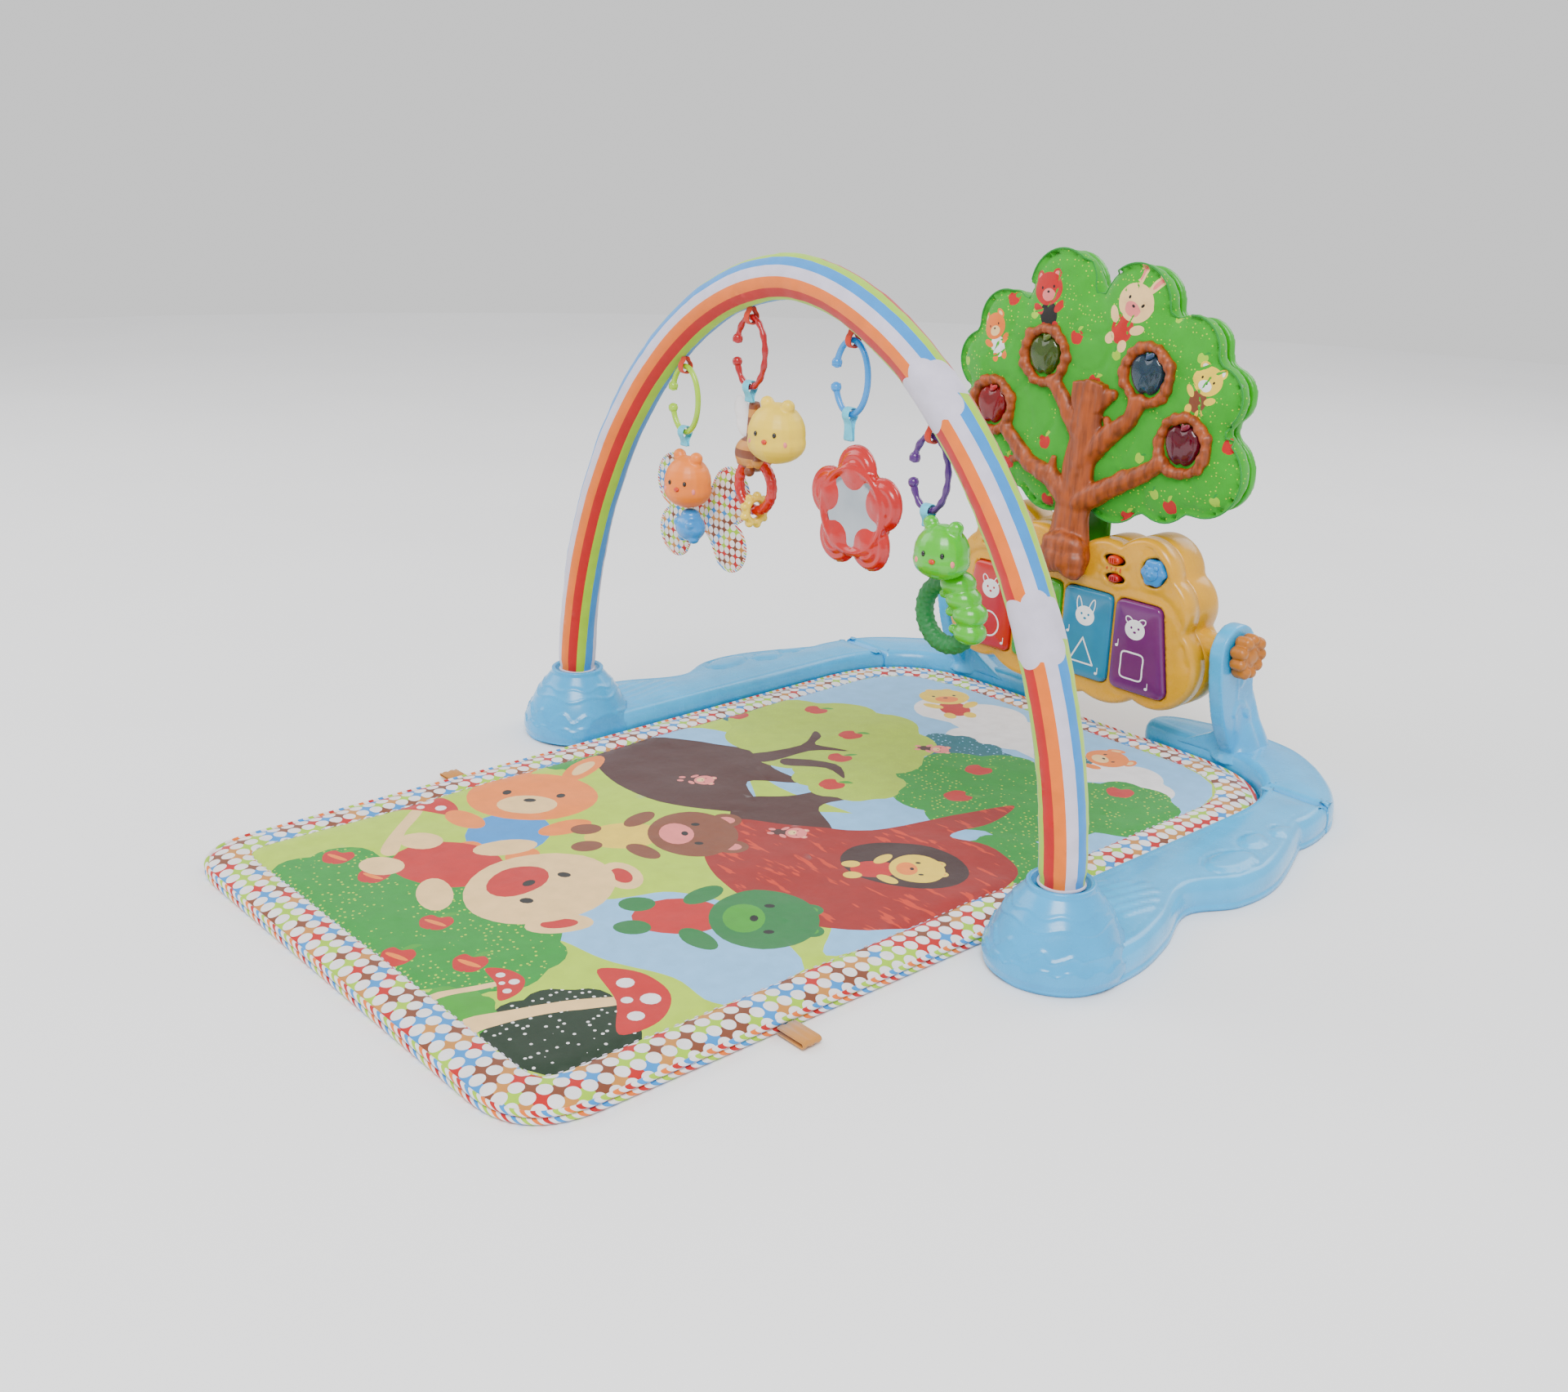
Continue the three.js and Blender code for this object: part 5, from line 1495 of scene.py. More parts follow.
def build_keys():
    white = moulded("key_print_ink", "white", 0.35, 0.1)
    for name, colour, top, bottom, shape in KEYS:
        look = moulded(name + "_plastic", colour, 0.2, 0.4)
        centre = (max(bottom[0], top[0]) + min(bottom[1], top[1])) / 2
        prints = [(mark, ccw(outline)) for mark, outline in key_print(centre, shape)]
        key = pillow(name + "_pillow", key_outline(top, bottom), PIANO_FRONT, 4.6, look, name, prints,
                     [white])
        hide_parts(name)


def build_controls():
    x, z = BUTTON
    petals = [(x + 8.6 * math.cos(a), z + 8.6 * math.sin(a), 4.6) for a in around(6)]
    blue = moulded("music_button_plastic", "blue", 0.2, 0.4)
    button = pillow("music_button_cap", resampled(cloud((x, z), petals + [(x, z, 11.6)], 90), 1.8),
                    PIANO_FRONT, 3.4, blue, "music_button")
    clay = Clay().ball(x, PIANO_FRONT - 4.2, z, 7.4, 2.4, 6.6)
    for side in (-1, 1):
        clay.ball(x + side * 5, PIANO_FRONT - 4.4, z + 5.6, 2.4, 1.8, 2.6)
        clay.ball(x + side * 2.6, PIANO_FRONT - 6.4, z + 1, 0.9, 0.8, 1.1)
    clay.ball(x, PIANO_FRONT - 6.6, z - 2, 1.6, 0.9, 1.0)
    face = clay.melt("music_button_relief", blue, "music_button", 0.45, 2)
    for made in (button, face):
        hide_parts("music_button")
    for name, colour, sx, sz, half, high, slot in SLIDERS:
        look = moulded(name + "_plastic", colour, 0.22, 0.35)
        cap = pillow(name + "_cap", ellipse(sx, sz, half, high, count=30), PIANO_FRONT, 3.4, look, name)
        ribs = Clay()
        for dx in (-2.4, 0, 2.4):
            ribs.rod((sx + dx, PIANO_FRONT - 4.2, sz - high * 0.5),
                     (sx + dx, PIANO_FRONT - 4.2, sz + high * 0.5), 0.7)
        grip = ribs.melt(name + "_ribs", look, name, 0.35, 1)
        for made in (cap, grip):
            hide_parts(name)
    ink = moulded("casing_mark_ink", "rust", 0.4, 0.1)
    marks = Clay()
    for dx, size in ((-8, 0.8), (-3, 1.0), (2, 1.2), (7, 1.5)):
        marks.rod((54 + dx, 329.5, 180.5 - size), (54 + dx, 329.5, 180.5 + size), 0.7)
    marks.melt("volume_marks", ink, "piano", 0.35, 1)


def build_piano():
    look = moulded("casing_plastic", "ochre", 0.26, 0.3)
    casing_half("casing_front", "piano_front_shell", True, windows() + grille(), piano_relief, look)
    casing_half("casing_rear", "piano_rear_shell", False, [], rear_relief, look)
    for side in (1, -1):
        clay = Clay().rod((side * 130, PIVOT_Y, PIVOT_Z), (side * 166, PIVOT_Y, PIVOT_Z), 7.8,
                          balls=False)
        clay.rod((side * 134, PIVOT_Y, PIVOT_Z), (side * 155, PIVOT_Y, PIVOT_Z), 15, 11, balls=False)
        stub = clay.melt("trunnion_right" if side > 0 else "trunnion_left", look, "piano", 1.1, 3)
        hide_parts("piano_rear_shell")
    build_keys()
    build_controls()


# ------------------------------------------------------------------ tree
TREE_FRONT, TREE_BACK = 335, 361
TREE_LOBES = [(-40, 424, 42), (44, 418, 41), (105, 386, 34), (134, 348, 33), (132, 281, 43),
              (92, 263, 37), (-104, 388, 36), (-130, 350, 33), (-132, 290, 38), (-92, 263, 36),
              (0, 330, 96), (38, 258, 42), (-38, 256, 42)]
NESTS = (("red", -108, 310, "crimson"), ("olive", -48, 364, "olive"), ("blue", 68, 360, "slate"),
         ("magenta", 112, 304, "magenta"))
RED_APPLES = [(-14, 384), (-96, 411), (10, 346), (-41, 284), (-84, 258), (-37, 228), (56, 228),
              (103, 247), (154, 309)]
LIME_APPLES = [(-149, 347), (32, 373), (88, 411), (68, 286), (148, 260), (87, 256), (-66, 400),
               (120, 380)]
QUILTING = [(-120, 385, 30), (-70, 430, 28), (0, 420, 34), (70, 440, 26), (110, 400, 30),
            (150, 345, 28), (150, 285, 30), (100, 255, 28), (50, 245, 26), (-50, 245, 28),
            (-110, 260, 28), (-150, 300, 26), (-145, 345, 24), (-90, 350, 26), (30, 310, 30),
            (-60, 310, 28), (100, 340, 24), (0, 380, 26), (60, 395, 20), (-30, 455, 20),
            (-100, 300, 40), (70, 300, 30)]


def canopy_prints():
    """Apples and small plain animals on the tree's padded front."""
    prints = []
    for index, (x, z) in enumerate(RED_APPLES):
        prints += apple(x, z, 6.6, "red", "lime", 20 * math.sin(index * 2.1))
    for index, (x, z) in enumerate(LIME_APPLES):
        prints += apple(x, z, 4.6, "lime", "leaf", 30 * math.sin(index * 1.7))
    prints += critter(-53, 424, 17, 10, "red", "pink", "ink", "round", "ink")
    prints += critter(46, 420, 19, -25, "cream", "pink", "ink", "long", "red")
    prints += critter(-114, 384, 14, 20, "orange", "cream", "ink", "point", "white")
    prints += critter(128, 362, 14, -20, "yellow", "white", "ink", "round", "mole")
    return prints


def build_canopy():
    outline = resampled(cloud((0, 330), TREE_LOBES, 300), 4.0)
    rows = [(9, TREE_FRONT + 2.5), (4, TREE_FRONT + 4.5), (1.6, TREE_FRONT + 9), (1.6, TREE_BACK - 8),
            (4, TREE_BACK - 4), (10, TREE_BACK - 3)]
    loops = [[(x, y, z) for x, z in inset(outline, d)] for d, y in rows]
    looks = {
        "green": dotted("canopy_green", "leaf", "print_lime", 4.2, 0.17),
        "red": woven("canopy_red", "red"),
        "lime": woven("canopy_lime", "lime"), "leaf": woven("canopy_leaf", "print_green"),
        "ink": woven("canopy_ink", "ink"), "pink": woven("canopy_pink", "print_pink"),
        "cream": woven("canopy_cream", "cream"), "orange": woven("canopy_orange", "orange"),
        "yellow": woven("canopy_yellow", "butter"), "white": woven("canopy_white", "white"),
        "mole": woven("canopy_brown", "mole"),
    }
    mark = {name: i for i, name in enumerate(looks)}
    front, back = (0, TREE_FRONT + 2, 330), (0, TREE_BACK - 3, 330)
    pad = stuffed("canopy_pad", loops, front, back, looks["green"], "piano", 5.0, 4.0, 5.5)
    tree = BVHTree.FromPolygons([v.co for v in pad.data.vertices],
                                [p.vertices[:] for p in pad.data.polygons])

    def front_at(x, z):
        hit = tree.ray_cast(Vector((x, 250, z)) * MM, Vector((0, 1, 0)))
        return hit[0].y / MM if hit[0] is not None else TREE_FRONT + 3

    panel = inset(outline, 5)

    def lift(flat):
        groove = np.zeros(len(flat))
        for x, z, r in QUILTING:
            groove = np.maximum(groove, ridge(np.hypot(flat[:, 0] - x, flat[:, 1] - z) - r, 1.5))
        edge = edge_distance(flat, panel)
        out = []
        for (x, z), dip, away in zip(flat, groove, edge):
            puff = 0.8 * noise.noise(Vector((x / 24, z / 24, 5)))
            out.append((x, front_at(x, z) - 0.5 - (puff + 0.7 - 1.5 * dip) * min(1, away / 8), z))
        return np.array(out)

    prints = [(mark[look], shape) for look, shape in canopy_prints()]
    merge(pad, printed("canopy_front", panel, prints, list(looks.values()), "piano", 4.2, lift))
    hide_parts("tree_canopy")
    ring = [tuple(p) for p in lift(np.array(resampled(panel, 5.0)))]
    seam = tube("canopy_seam", [(x, y - 0.2, z) for x, y, z in ring], 0.8,
                woven("canopy_seam_cord", "print_green"), "piano", closed=True)


BRANCHES = [
    ((-4, 236), (-30, 254), 14, 11), ((-30, 254), (-56, 262), 11, 10),
    ((-56, 262), (-76, 280), 10, 8.5),
    ((-76, 280), (-90, 292), 8.5, 8), ((-2, 300), (-20, 326), 11, 9), ((-20, 326), (-34, 342), 9, 8.5),
    ((6, 272), (32, 300), 13, 11), ((32, 300), (54, 318), 11, 9.5), ((54, 318), (62, 336), 9.5, 9),
    ((8, 236), (46, 258), 14, 11), ((46, 258), (76, 274), 11, 9.5), ((76, 274), (92, 286), 9.5, 9),
]
STEM = [((0, 186), 26), ((-1, 205), 22), ((0, 225), 20), ((2, 250), 18), ((5, 280), 16.5),
        ((8, 310), 16), ((9, 336), 17)]
TWIGS = [((-30, 258), (-26, 272)), ((44, 262), (54, 272)), ((-66, 268), (-76, 262)),
         ((36, 304), (30, 316))]


def bark_relief(points, normals):
    """Long grooves and knobbly lumps on the wood."""
    return 0.8 * noise_at(points, (3.2, 6, 26)) + 1.0 * noise_at(points + 40, 9)


def build_trunk():
    y = TREE_FRONT - 6
    clay = Clay()
    for (a, ra), (b, rb) in zip(STEM, STEM[1:]):
        for share in (0.0, 0.25, 0.5, 0.75):
            r = ra + (rb - ra) * share
            clay.ball(a[0] + (b[0] - a[0]) * share, y, a[1] + (b[1] - a[1]) * share, r, 9.5, r * 0.9)
    clay.slab([(-7, 322), (25, 322), (27, 346), (10, 350), (-8, 346)], y - 7.5, y + 5)
    clay.rod((20, y, 328), (33, y, 338), 7, 6)
    for a, b, ra, rb in BRANCHES:
        clay.rod((a[0], y + 1, a[1]), (b[0], y + 1, b[1]), ra * 0.86, rb * 0.86)
    for a, b in TWIGS:
        clay.rod((a[0], y + 1, a[1]), (b[0], y, b[1]), 5.0, 3.4)
    for _, x, z, _ in NESTS:
        for step in range(16):
            a = 2 * math.pi * step / 16
            r = 24.6 + 0.9 * math.sin(step * 2.4)
            size = 5.6 + 0.9 * math.sin(step * 1.9 + x)
            clay.ball(x + r * math.cos(a), y + 1 - 1.2 * math.sin(step * 3.1), z + r * math.sin(a),
                      size, 6.4, size)
        clay.ring(x, y + 2, z, 24.4, 4.6, 24)
    clay.ball(0, 318, 182, 29, 11.5, 14).ball(-14, 319, 174, 15, 10, 9).ball(14, 319, 173, 15, 10, 9)
    clay.ball(0, 320, 194, 25, 11, 14)
    trunk = clay.melt("trunk_relief", barked("trunk_bark"), "piano", 1.8, 4, bark_relief)
    trim = bmesh.new()
    trim.from_mesh(trunk.data)
    bmesh.ops.bisect_plane(trim, geom=trim.verts[:] + trim.edges[:] + trim.faces[:],
                           plane_co=(0, (TREE_FRONT + 0.2) * MM, 0), plane_no=(0, 1, 0),
                           clear_outer=True)
    bmesh.ops.holes_fill(trim, edges=[e for e in trim.edges if e.is_boundary])
    trim.to_mesh(trunk.data)
    trim.free()
    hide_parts("tree_trunk")


def apple_outline(x, z, size):
    at = [(0, 0.86), (0.42, 1.02), (0.9, 0.62), (0.98, 0), (0.7, -0.66), (0.28, -0.96), (0, -0.88),
          (-0.28, -0.96), (-0.7, -0.66), (-0.98, 0), (-0.9, 0.62), (-0.42, 1.02)]
    return ccw(blob(*[(x + u * size, z + v * size) for u, v in at], steps=5))


def build_lens(colour_name, x, z, colour):
    name = "apple_lens_" + colour_name
    outline = resampled(apple_outline(x, z, 18), 1.6)
    rows = [(0.0, TREE_FRONT - 0.6), (0.0, TREE_FRONT - 4), (0.8, TREE_FRONT - 6),
            (2.4, TREE_FRONT - 8)]
    loops = [[(px, y, pz) for px, pz in inset(outline, d)] for d, y in rows]
    crown = inset(outline, 4)

    def lift(flat):
        away = np.clip(edge_distance(flat, crown) / 13, 0, 1)
        return np.column_stack([flat[:, 0], TREE_FRONT - 8.8 - 2.0 * away ** 0.6, flat[:, 1]])

    look = glassy(name + "_plastic", colour)
    dome = weld(merge(*capped(name + "_dome", loops, crown, [look], "piano", 2.2, lift)), 0.05)
    leaf = Clay().ball(x + 4, TREE_FRONT - 9, z + 17, 5.2, 1.8, 2.6, -30)
    leaf.rod((x, TREE_FRONT - 8, z + 14), (x + 1, TREE_FRONT - 9, z + 19), 1.3)
    stalk = leaf.melt(name + "_leaf", moulded(name + "_leaf_plastic", colour, 0.25, 0.3), "piano", 0.5,
                      2)
    ground = moulded(name + "_inside", colour, 0.5, 0.0)
    pale = moulded(name + "_face_print", "white", 0.5, 0.0)
    ink = moulded(name + "_face_ink", "ink", 0.5, 0.0)
    prints = [(1, ellipse(x, z - 2, 9.5, 8, count=30)), (1, ellipse(x - 6.5, z + 6, 3, 4, 20, 16)),
              (1, ellipse(x + 6.5, z + 6, 3, 4, -20, 16)), (2, ellipse(x - 3.4, z - 1, 1, count=10)),
              (2, ellipse(x + 3.4, z - 1, 1, count=10)), (2, ellipse(x, z - 4, 1.5, 1, count=10))]
    inner = resampled(apple_outline(x, z, 16), 2.0)
    disc = printed(name + "_face", inner, prints, [ground, pale, ink], "piano", 3.0,
                   lambda flat: np.column_stack([flat[:, 0], np.full(len(flat), TREE_FRONT - 3.0),
                                                 flat[:, 1]]))
    for made in (dome, stalk, disc):
        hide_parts(name)


def build_tree_back():
    """The moulded panel behind the canopy, with its tongue down into the piano."""
    outline = inset(resampled(cloud((0, 330), TREE_LOBES, 300), 3.0), 8)
    clay = Clay().slab(outline, TREE_BACK - 1, TREE_BACK + 6.2)
    clay.slab([(-20, 172), (20, 172), (20, 240), (-20, 240)], TREE_BACK + 0.6, TREE_BACK + 6.2)
    back = clay.melt("tree_back", moulded("tree_back_plastic", "leaf", 0.35, 0.15), "piano", 1.9, 4)
    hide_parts("tree_back_shell")


def build_tree():
    build_canopy()
    build_tree_back()
    build_trunk()
    for nest in NESTS:
        build_lens(*nest)


# ------------------------------------------------------------------ hanging toys
HANG = {"butterfly": (3.9, 12.4), "bee": (-3.7, 12.4), "flower": (-0.4, 20.4), "grub": (-6.7, 12.4)}


def toy_origin(toy):
    """Where a toy's ribbon ends; each toy is shifted a little so that it hangs plumb."""
    x, y, z = joint(toy + "_swing")
    shift, drop = HANG[toy]
    return Vector((x, y - shift, z - drop))


EYE_ANGLE = 0.36  # radians from the middle of a face to each eye


def toy_face(name, centre, radii, body, turn=20):
    """Dot eyes, pink cheeks, a small nose and a smile on the front of a round head."""
    def on_head(across, up, out=0.0):
        a, b = math.radians(turn) + across, up
        d = Vector((math.sin(a) * math.cos(b), -math.cos(a) * math.cos(b), math.sin(b)))
        return Vector(centre) + Vector((d.x * radii[0], d.y * radii[1], d.z * radii[2])) + d * out

    eyes = Clay()
    for side in (-1, 1):
        eyes.ball(*on_head(side * EYE_ANGLE, 0.08, -0.4), 1.7, 1.5, 2.1)
    mouth = [on_head(s * 0.16, -0.42 - 0.08 * math.cos(s * 1.5), -0.1) for s in np.linspace(-1, 1, 7)]
    for a, b in zip(mouth, mouth[1:]):
        eyes.rod(a, b, 0.5)
    dots = eyes.melt(name + "_eyes", moulded(name + "_eye_ink", "ink", 0.2, 0.5), body, 0.36, 1)
    nose = Clay().ball(*on_head(0, -0.16, -0.2), 2.8, 1.7, 2.0)
    bud = nose.melt(name + "_nose", moulded(name + "_nose_paint", "rust", 0.35, 0.2), body, 0.4, 2)
    cheeks = Clay()
    for side in (-1, 1):
        cheeks.ball(*on_head(side * 0.72, -0.24, -1.2), 3.2, 2.0, 3.0)
    blush = cheeks.melt(name + "_cheeks", moulded(name + "_cheek_paint", "print_pink", 0.5, 0.05), body,
                        0.5, 2)
    return dots, bud, blush


def toy_head(name, centre, radii, body, look, node_name, ears, turn=20):
    clay = Clay().ball(*centre, *radii)
    clay.ball(centre[0], centre[1], centre[2] - radii[2] * 0.28, radii[0] * 1.04, radii[1] * 1.0,
              radii[2] * 0.7)
    for side in (-1, 1):
        tip = (centre[0] + side * ears[0], centre[1], centre[2] + ears[1])
        clay.rod((centre[0] + side * ears[0] * 0.7, centre[1], centre[2] + ears[1] * 0.6), tip, 4.2,
                 4.6)
        clay.ball(*tip, 5.8, 5.4, 5.4)
        clay.ball(tip[0], tip[1], tip[2] - 6.5, 5.2, 5.0, 3.4)
    head = clay.melt(name + "_skull", look, body, 1.0, 4)
    for made in (head, *toy_face(name, centre, radii, body, turn)):
        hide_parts(node_name)


def place(origin, x, y, z):
    return (origin.x + x, origin.y + y, origin.z + z)


def build_butterfly():
    o = toy_origin("butterfly")
    toy_head("butterfly_toy", place(o, 8, 1, -28), (21, 19.3, 22), "butterfly",
             vinyl("butterfly_head_vinyl", "peach"), "butterfly_head", (11, 21))
    belly = Clay().ball(*place(o, 12, 1, -66), 15, 11.4, 12).ball(*place(o, 4, -3, -62), 5, 7, 4.5)
    belly.ball(*place(o, 20, -3, -62), 5, 7, 4.5).ball(*place(o, 12, 1, -56), 9, 8, 6)
    belly.ball(*place(o, 5, -1, -75), 4.6, 5, 4).ball(*place(o, 19, -1, -75), 4.6, 5, 4)
    body = belly.melt("butterfly_tummy", moulded("butterfly_belly_plastic", "blue", 0.2, 0.4),
                      "butterfly", 0.9, 4)
    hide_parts("butterfly_belly")
    lobes = [(s * x - 2, z - 26, r) for s in (-1, 1)
             for x, z, r in ((38, -12, 24), (36, -56, 22), (20, -34, 22))]
    outline = resampled([(o.x + x, o.z + z) for x, z in cloud((-2, -60), lobes, 160)], 2.4)
    back = o.y + 27
    rows = [(4.5, back - 2.7), (1.2, back - 2.3), (0.6, back - 1.5), (1.2, back - 0.7),
            (4.5, back - 0.3)]
    loops = [[(x, y, z) for x, z in inset(outline, d)] for d, y in rows]
    ends = [(o.x - 2, back - depth, o.z - 60) for depth in (2.8, 0.2)]
    stars = starry("butterfly_wing_stars", "XZ", 7.0)
    wings = stuffed("wing_pad", loops, *ends, stars, "butterfly", 1.6, 2.0, 1.5)
    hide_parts("butterfly_wings")
    ring = [(x, back - 1.5, z) for x, z in inset(outline, 0.6)]
    piping = tube("wing_piping", ring, 1.1, striped_cord("wing_piping_cord", 5.0), "butterfly",
                  closed=True)


def banded(name, ground, band_colour, pitch):
    """Plastic in level bands of two colours."""
    look = Look(name, ground, Coat_Weight=0.1, Coat_Roughness=0.3)
    split = look.node("SeparateXYZ", {"Vector": look.place}).outputs
    turn = look.maths("FRACT", look.maths("MULTIPLY", split["Z"], 1 / (pitch * MM)))
    look.colour(look.ramp(turn, [(0.0, linear(ground)), (0.5, linear(band_colour))], "CONSTANT"))
    look.roughness(look.noise(9), 0.35, 0.5)
    look.bump(look.noise(1.6, 2.0), 0.03)
    return look.material


def build_bee():
    o = toy_origin("bee")
    toy_head("bee_toy", place(o, 38, -8, -18), (24, 22, 24), "bee", vinyl("bee_head_vinyl", "butter"),
             "bee_head", (12, 22))
    clay = Clay().ball(*place(o, -4, 6, -42), 19, 14, 15).ball(*place(o, -14, 6, -48), 9, 8, 8)
    clay.ball(*place(o, 12, -4, -46), 5, 5, 5).ball(*place(o, 4, -6, -54), 4.4, 4.6, 4.4)
    clay.rod(place(o, -2, 4, -30), place(o, 0, 1.5, 0), 7, 4.5, balls=False)
    body = clay.melt("bee_trunk", banded("bee_body_vinyl", "tan", "mole", 13.0), "bee", 1.0, 4)
    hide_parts("bee_body")
    wing = Clay()
    for x, z, turn in ((-20, -10, -24), (-15, -22, -60)):
        wing.ball(*place(o, x, 6, z), 9.4, 2.6, 13, turn)
    flap = wing.melt("bee_wing_pair", moulded("bee_wing_plastic", "white", 0.35, 0.2), "bee", 0.8, 3)
    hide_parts("bee_wing")
    ring = Clay().ring(*place(o, 5, 0, -66), 20, 4.4).melt(
        "bee_hoop", moulded("bee_ring_plastic", "red", 0.2, 0.4), "bee", 0.9, 3,
        lambda points, normals: 0.25 * np.sin(points[:, 0] * 0.9) * np.sin(points[:, 2] * 0.9))
    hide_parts("bee_ring")
    bead = Clay()
    for step in range(27):
        a = 2 * math.pi * step / 27
        y, z = math.cos(a), math.sin(a)
        bead.ball(*place(o, 5, 9.6 * y, -86 + 9.6 * z), 4.2, 3.2, 3.2)
        if step % 3 == 0:
            bead.ball(*place(o, 5, 12.0 * y, -86 + 12.0 * z), 4.0, 3.2, 3.2)
    gear = bead.melt("bee_gear", moulded("bee_bead_plastic", "butter", 0.25, 0.3), "bee_bead", 0.7, 3)
    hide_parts("bee_gear_bead")


def build_flower():
    o = toy_origin("flower")
    cx, cy, cz = place(o, 10, 0, -50)
    petals = [(cx + 29 * math.cos(a), cz + 29 * math.sin(a)) for a in
              (math.pi / 2 + 2 * math.pi * i / 5 for i in range(5))]
    clay = Clay()
    for x, z in petals:
        clay.ball(x, cy + 0.4, z, 20.2, 6.6, 20.2)
        clay.ball(x, cy, z, 13, 7, 13)
    clay.slab([(cx + 33 * math.cos(a), cz + 33 * math.sin(a)) for a in around(48)],
              cy - 1.5, cy + 6.5)
    clay.ring(cx, cy - 3.6, cz, 31.6, 3.2, 44)

    def swirl(points, normals):
        away = [np.hypot(points[:, 0] - x, points[:, 2] - z) for x, z in petals]
        nearest = np.argmin(away, axis=0)
        r = np.min(away, axis=0)
        x, z = np.array(petals)[nearest].T
        a = np.arctan2(points[:, 2] - z, points[:, 0] - x)
        out = np.hypot(points[:, 0] - cx, points[:, 2] - cz) > 35.5
        wave = 0.55 * np.sin(a + r * 0.95) * np.minimum(1, r / 5)
        return np.where(out & (np.abs(normals[:, 1]) > 0.35), wave, 0.0)

    frame_piece = clay.melt("flower_petals", moulded("flower_plastic", "red", 0.18, 0.5), "flower", 1.1,
                            3, swirl)
    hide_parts("flower_frame")
    disc = ellipse(cx, cz, 29.4, count=90)

    def lift(flat):
        r = np.hypot(flat[:, 0] - cx, flat[:, 1] - cz)
        return np.column_stack([flat[:, 0], cy - 3.4 - 1.1 * np.clip((29.4 - r) / 5, 0, 1) ** 0.5,
                                flat[:, 1]])

    mirror_piece = printed("flower_mirror_film", disc, [], [polished("mirror_film")], "flower", 3.0,
                           lift, rings=[ellipse(cx, cz, r, count=80) for r in (28.6, 27, 24.4)])
    weld(mirror_piece)
    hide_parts("flower_mirror")


def build_grub():
    o = toy_origin("grub")
    green = moulded("grub_plastic", "grass", 0.22, 0.4)
    toy_head("grub_toy", place(o, 22, -14, -12), (21, 19.3, 20), "grub", green,
             "grub_head", (12, 19))
    clay = Clay()
    for x, z, r in ((28, -36, 13.5), (34, -46, 13.4), (41, -56, 13.2), (42, -69, 12.4)):
        clay.ball(*place(o, x, -1, z), r, r * 0.98, r * 0.72)
    for x, z in ((20, -44), (27, -56), (31, -68)):
        clay.ball(*place(o, x, -6, z), 4, 4, 3.6)
    body = clay.melt("grub_segments", green, "grub", 0.9, 3)
    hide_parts("grub_body")
    cx, cy, cz = place(o, 19, 0, -61)

    def bumps(points, normals):
        a = np.arctan2(points[:, 2] - cz, points[:, 0] - cx)
        r = np.hypot(points[:, 2] - cz, points[:, 0] - cx) - 23
        around = np.arctan2(points[:, 1] - cy, r)
        return 0.75 * np.maximum(0, np.sin(a * 22) * np.sin(around * 6)) - 0.15

    ring = Clay().ring(cx, cy, cz, 23, 6.9, 40).melt(
        "teether_hoop", moulded("teether_rubber", "teether", 0.5, 0.05, 0.06), "grub", 0.9, 3, bumps)
    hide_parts("teether_ring")


def finish_cad_nodes():
    """Better materials for the CAD pieces that keep their own shape."""
    looks = {
        "battery_door": moulded("battery_door_plastic", "ochre", 0.3, 0.25),
        "battery_door_screw": polished("screw_steel"),
        "circuit_board": moulded("board_green", "print_dark", 0.5, 0.3),
        "speaker": polished("speaker_steel"),
        "arch_tube_right": moulded("arch_tube_right_plastic", "white", 0.3, 0.2),
        "arch_tube_left": moulded("arch_tube_left_plastic", "white", 0.3, 0.2),
        "arch_joiner": moulded("arch_joiner_plastic", "white", 0.35, 0.2),
    }
    for name, look in looks.items():
        made = bpy.data.objects[name]
        for slot in made.material_slots:
            slot.material = look
        if name == "battery_door":
            soft = made.modifiers.new("soft_edges", "BEVEL")
            soft.width = 0.8 * MM
            soft.segments = 3
            soft.limit_method = "ANGLE"


# ------------------------------------------------------------------ studio
FLOOR_RINGS = (600, 1400, 2600, 4000)  # radii in millimetres
FLOOR_SIDES = 48
FLOOR_LEVEL = -0.6


def build_stage():
    """A wide, flat, pale floor."""
    look = Look("floor_paper", "white")
    look.colour(look.ramp(look.noise(400),
                          [(0.3, [0.92, 0.92, 0.93, 1]), (0.7, [0.95, 0.95, 0.96, 1])]))
    look.roughness(look.noise(60), 0.75, 0.9)
    points = [(0, 0, FLOOR_LEVEL)]
    points += [(r * math.cos(a), r * math.sin(a), FLOOR_LEVEL) for r in FLOOR_RINGS
               for a in around(FLOOR_SIDES)]

    def corner(ring, i):
        return 1 + ring * FLOOR_SIDES + i % FLOOR_SIDES

    faces = [(0, corner(0, i), corner(0, i + 1)) for i in range(FLOOR_SIDES)]
    faces += [(corner(r, i), corner(r + 1, i), corner(r + 1, i + 1), corner(r, i + 1))
              for r in range(len(FLOOR_RINGS) - 1) for i in range(FLOOR_SIDES)]
    mesh = bpy.data.meshes.new("floor")
    mesh.from_pydata([Vector(p) * MM for p in points], [], faces)
    mesh.materials.append(look.material)
    floor = bpy.data.objects.new("floor", mesh)
    bpy.context.collection.objects.link(floor)


WORLD_STRENGTH = 0.95
LAMPS = (  # name, place and size in metres, power in watts
    ("key", (1.3, -1.5, 2.4), 1.4, 85.0),
    ("fill", (-1.9, -1.0, 1.7), 1.8, 26.0),
    ("back", (0.2, 2.2, 2.0), 1.6, 26.0),
)
LAMP_TARGET = (0, 0, 0.15)


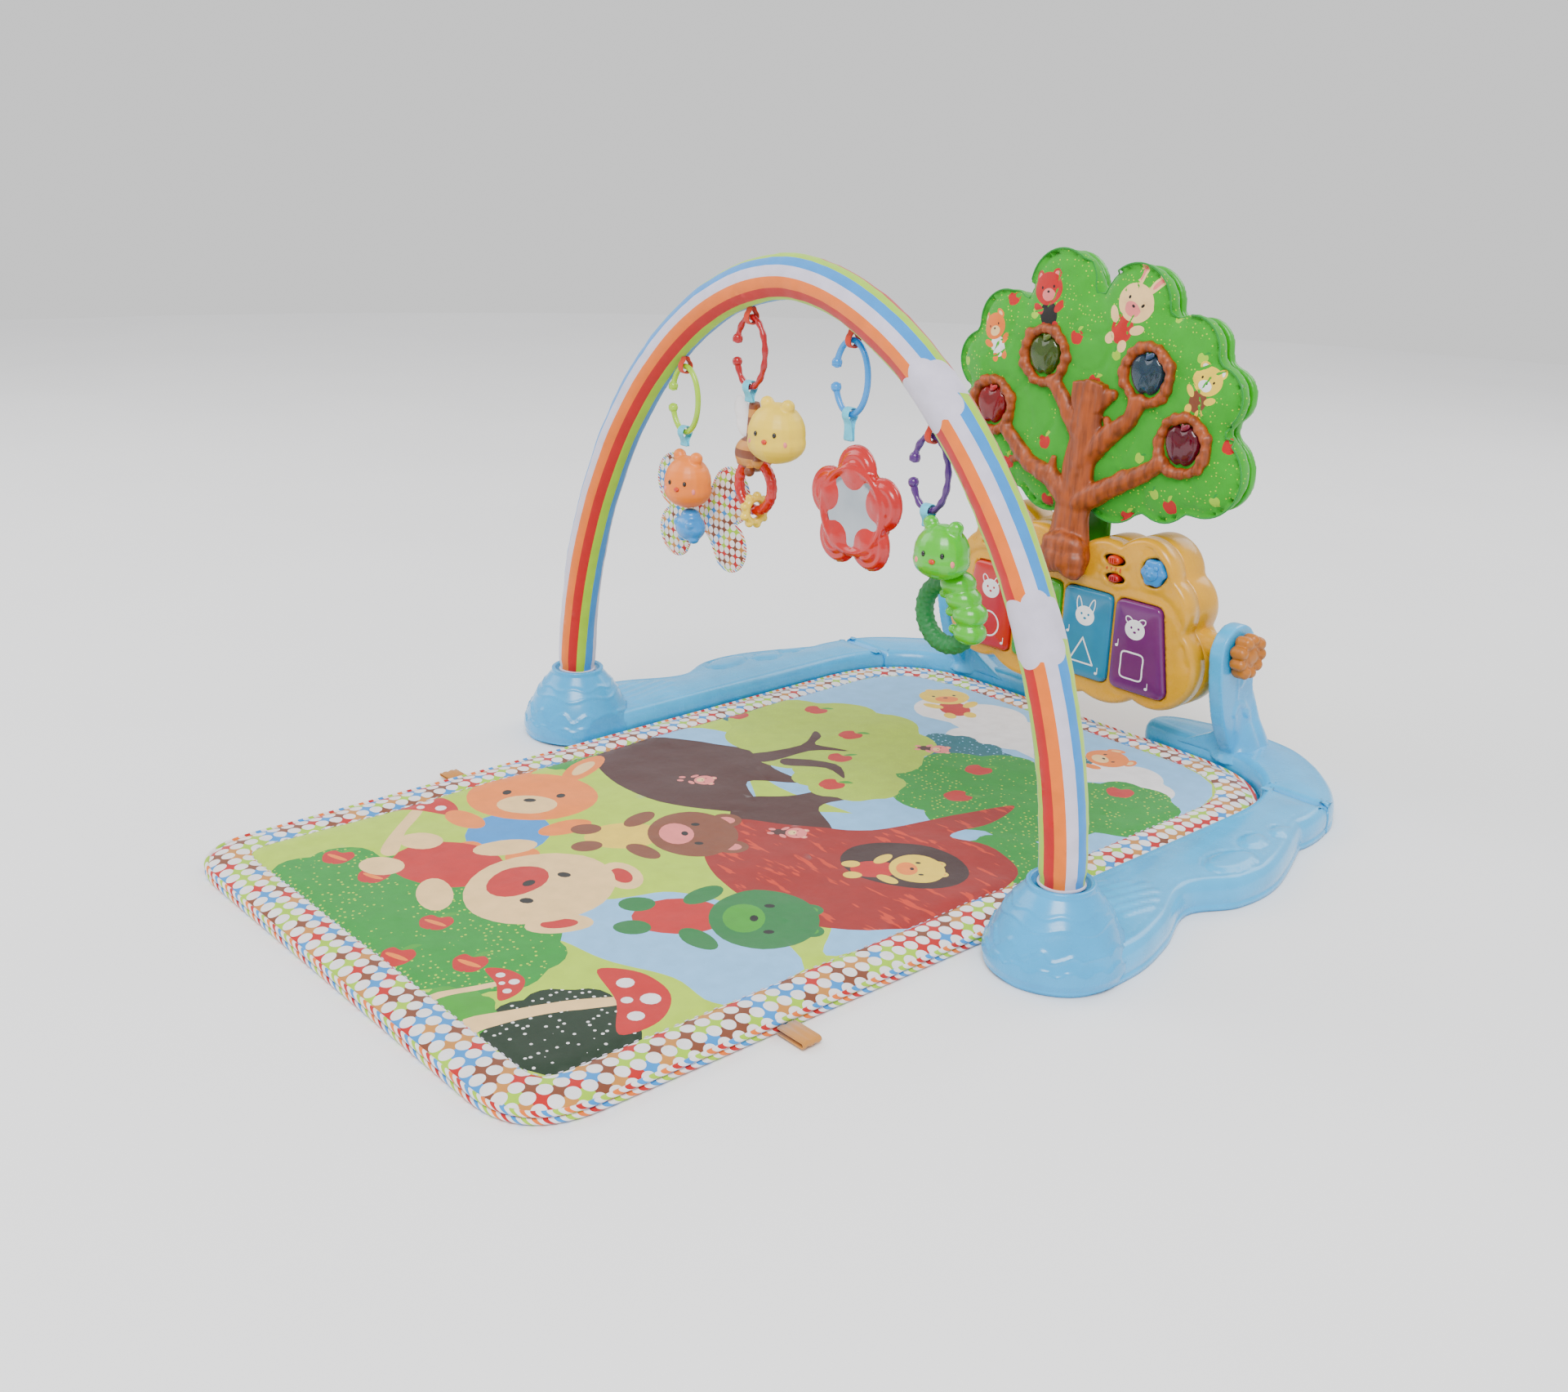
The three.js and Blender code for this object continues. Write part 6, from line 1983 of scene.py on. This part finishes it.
def build_lights():
    world = bpy.data.worlds.new("studio")
    world.use_nodes = True
    world.node_tree.nodes["Background"].inputs["Color"].default_value = (1.0, 1.0, 1.0, 1.0)
    world.node_tree.nodes["Background"].inputs["Strength"].default_value = WORLD_STRENGTH
    bpy.context.scene.world = world
    for name, place, size, power in LAMPS:
        lamp = bpy.data.lights.new(name, "AREA")
        lamp.size = size
        lamp.energy = power
        holder = bpy.data.objects.new(name, lamp)
        holder.location = place
        aim = Vector(LAMP_TARGET) - Vector(place)
        holder.rotation_euler = aim.to_track_quat("-Z", "Y").to_euler()
        bpy.context.collection.objects.link(holder)


CAMERA_PLACE = (0.9014, -0.8489, 0.5483)  # metres
CAMERA_TURN = (47.72, 19.47, 1.74)  # yaw, pitch and roll in degrees
CAMERA_LENS = 36.24
CAMERA_SENSOR = 36


def build_camera():
    yaw, pitch, roll = map(math.radians, CAMERA_TURN)
    back = Vector((math.sin(yaw) * math.cos(pitch), -math.cos(yaw) * math.cos(pitch), math.sin(pitch)))
    right = Vector((math.cos(yaw), math.sin(yaw), 0))
    up = back.cross(right)
    x_axis = right * math.cos(roll) + up * math.sin(roll)
    y_axis = up * math.cos(roll) - right * math.sin(roll)
    lens = bpy.data.cameras.new("camera")
    lens.lens = CAMERA_LENS
    lens.sensor_width = CAMERA_SENSOR
    lens.clip_start = 0.05
    camera = bpy.data.objects.new("camera", lens)
    camera.matrix_world = Matrix((
        *zip(x_axis, y_axis, back, CAMERA_PLACE),
        (0, 0, 0, 1),
    ))
    bpy.context.collection.objects.link(camera)
    bpy.context.scene.camera = camera


def build_base():
    look = moulded("base_plastic", "sky", 0.24, 0.35)
    for side in ("right", "left"):
        build_wing(side, look)
        build_upright(side, look)
        build_knob(side)


def build_arch():
    build_sleeve()
    for number, (colour, bumpy) in enumerate((("lime", False), ("crimson", True), ("blue", False),
                                              ("violet", True)), 1):
        build_link(number, colour, bumpy)
        build_loop(number)
        build_ribbon(number, 20 if number == 3 else 12)


build_camera()
build_lights()
build_stage()
build_mat()
build_base()
build_arch()
build_piano()
build_tree()
build_butterfly()
build_bee()
build_flower()
build_grub()
finish_cad_nodes()
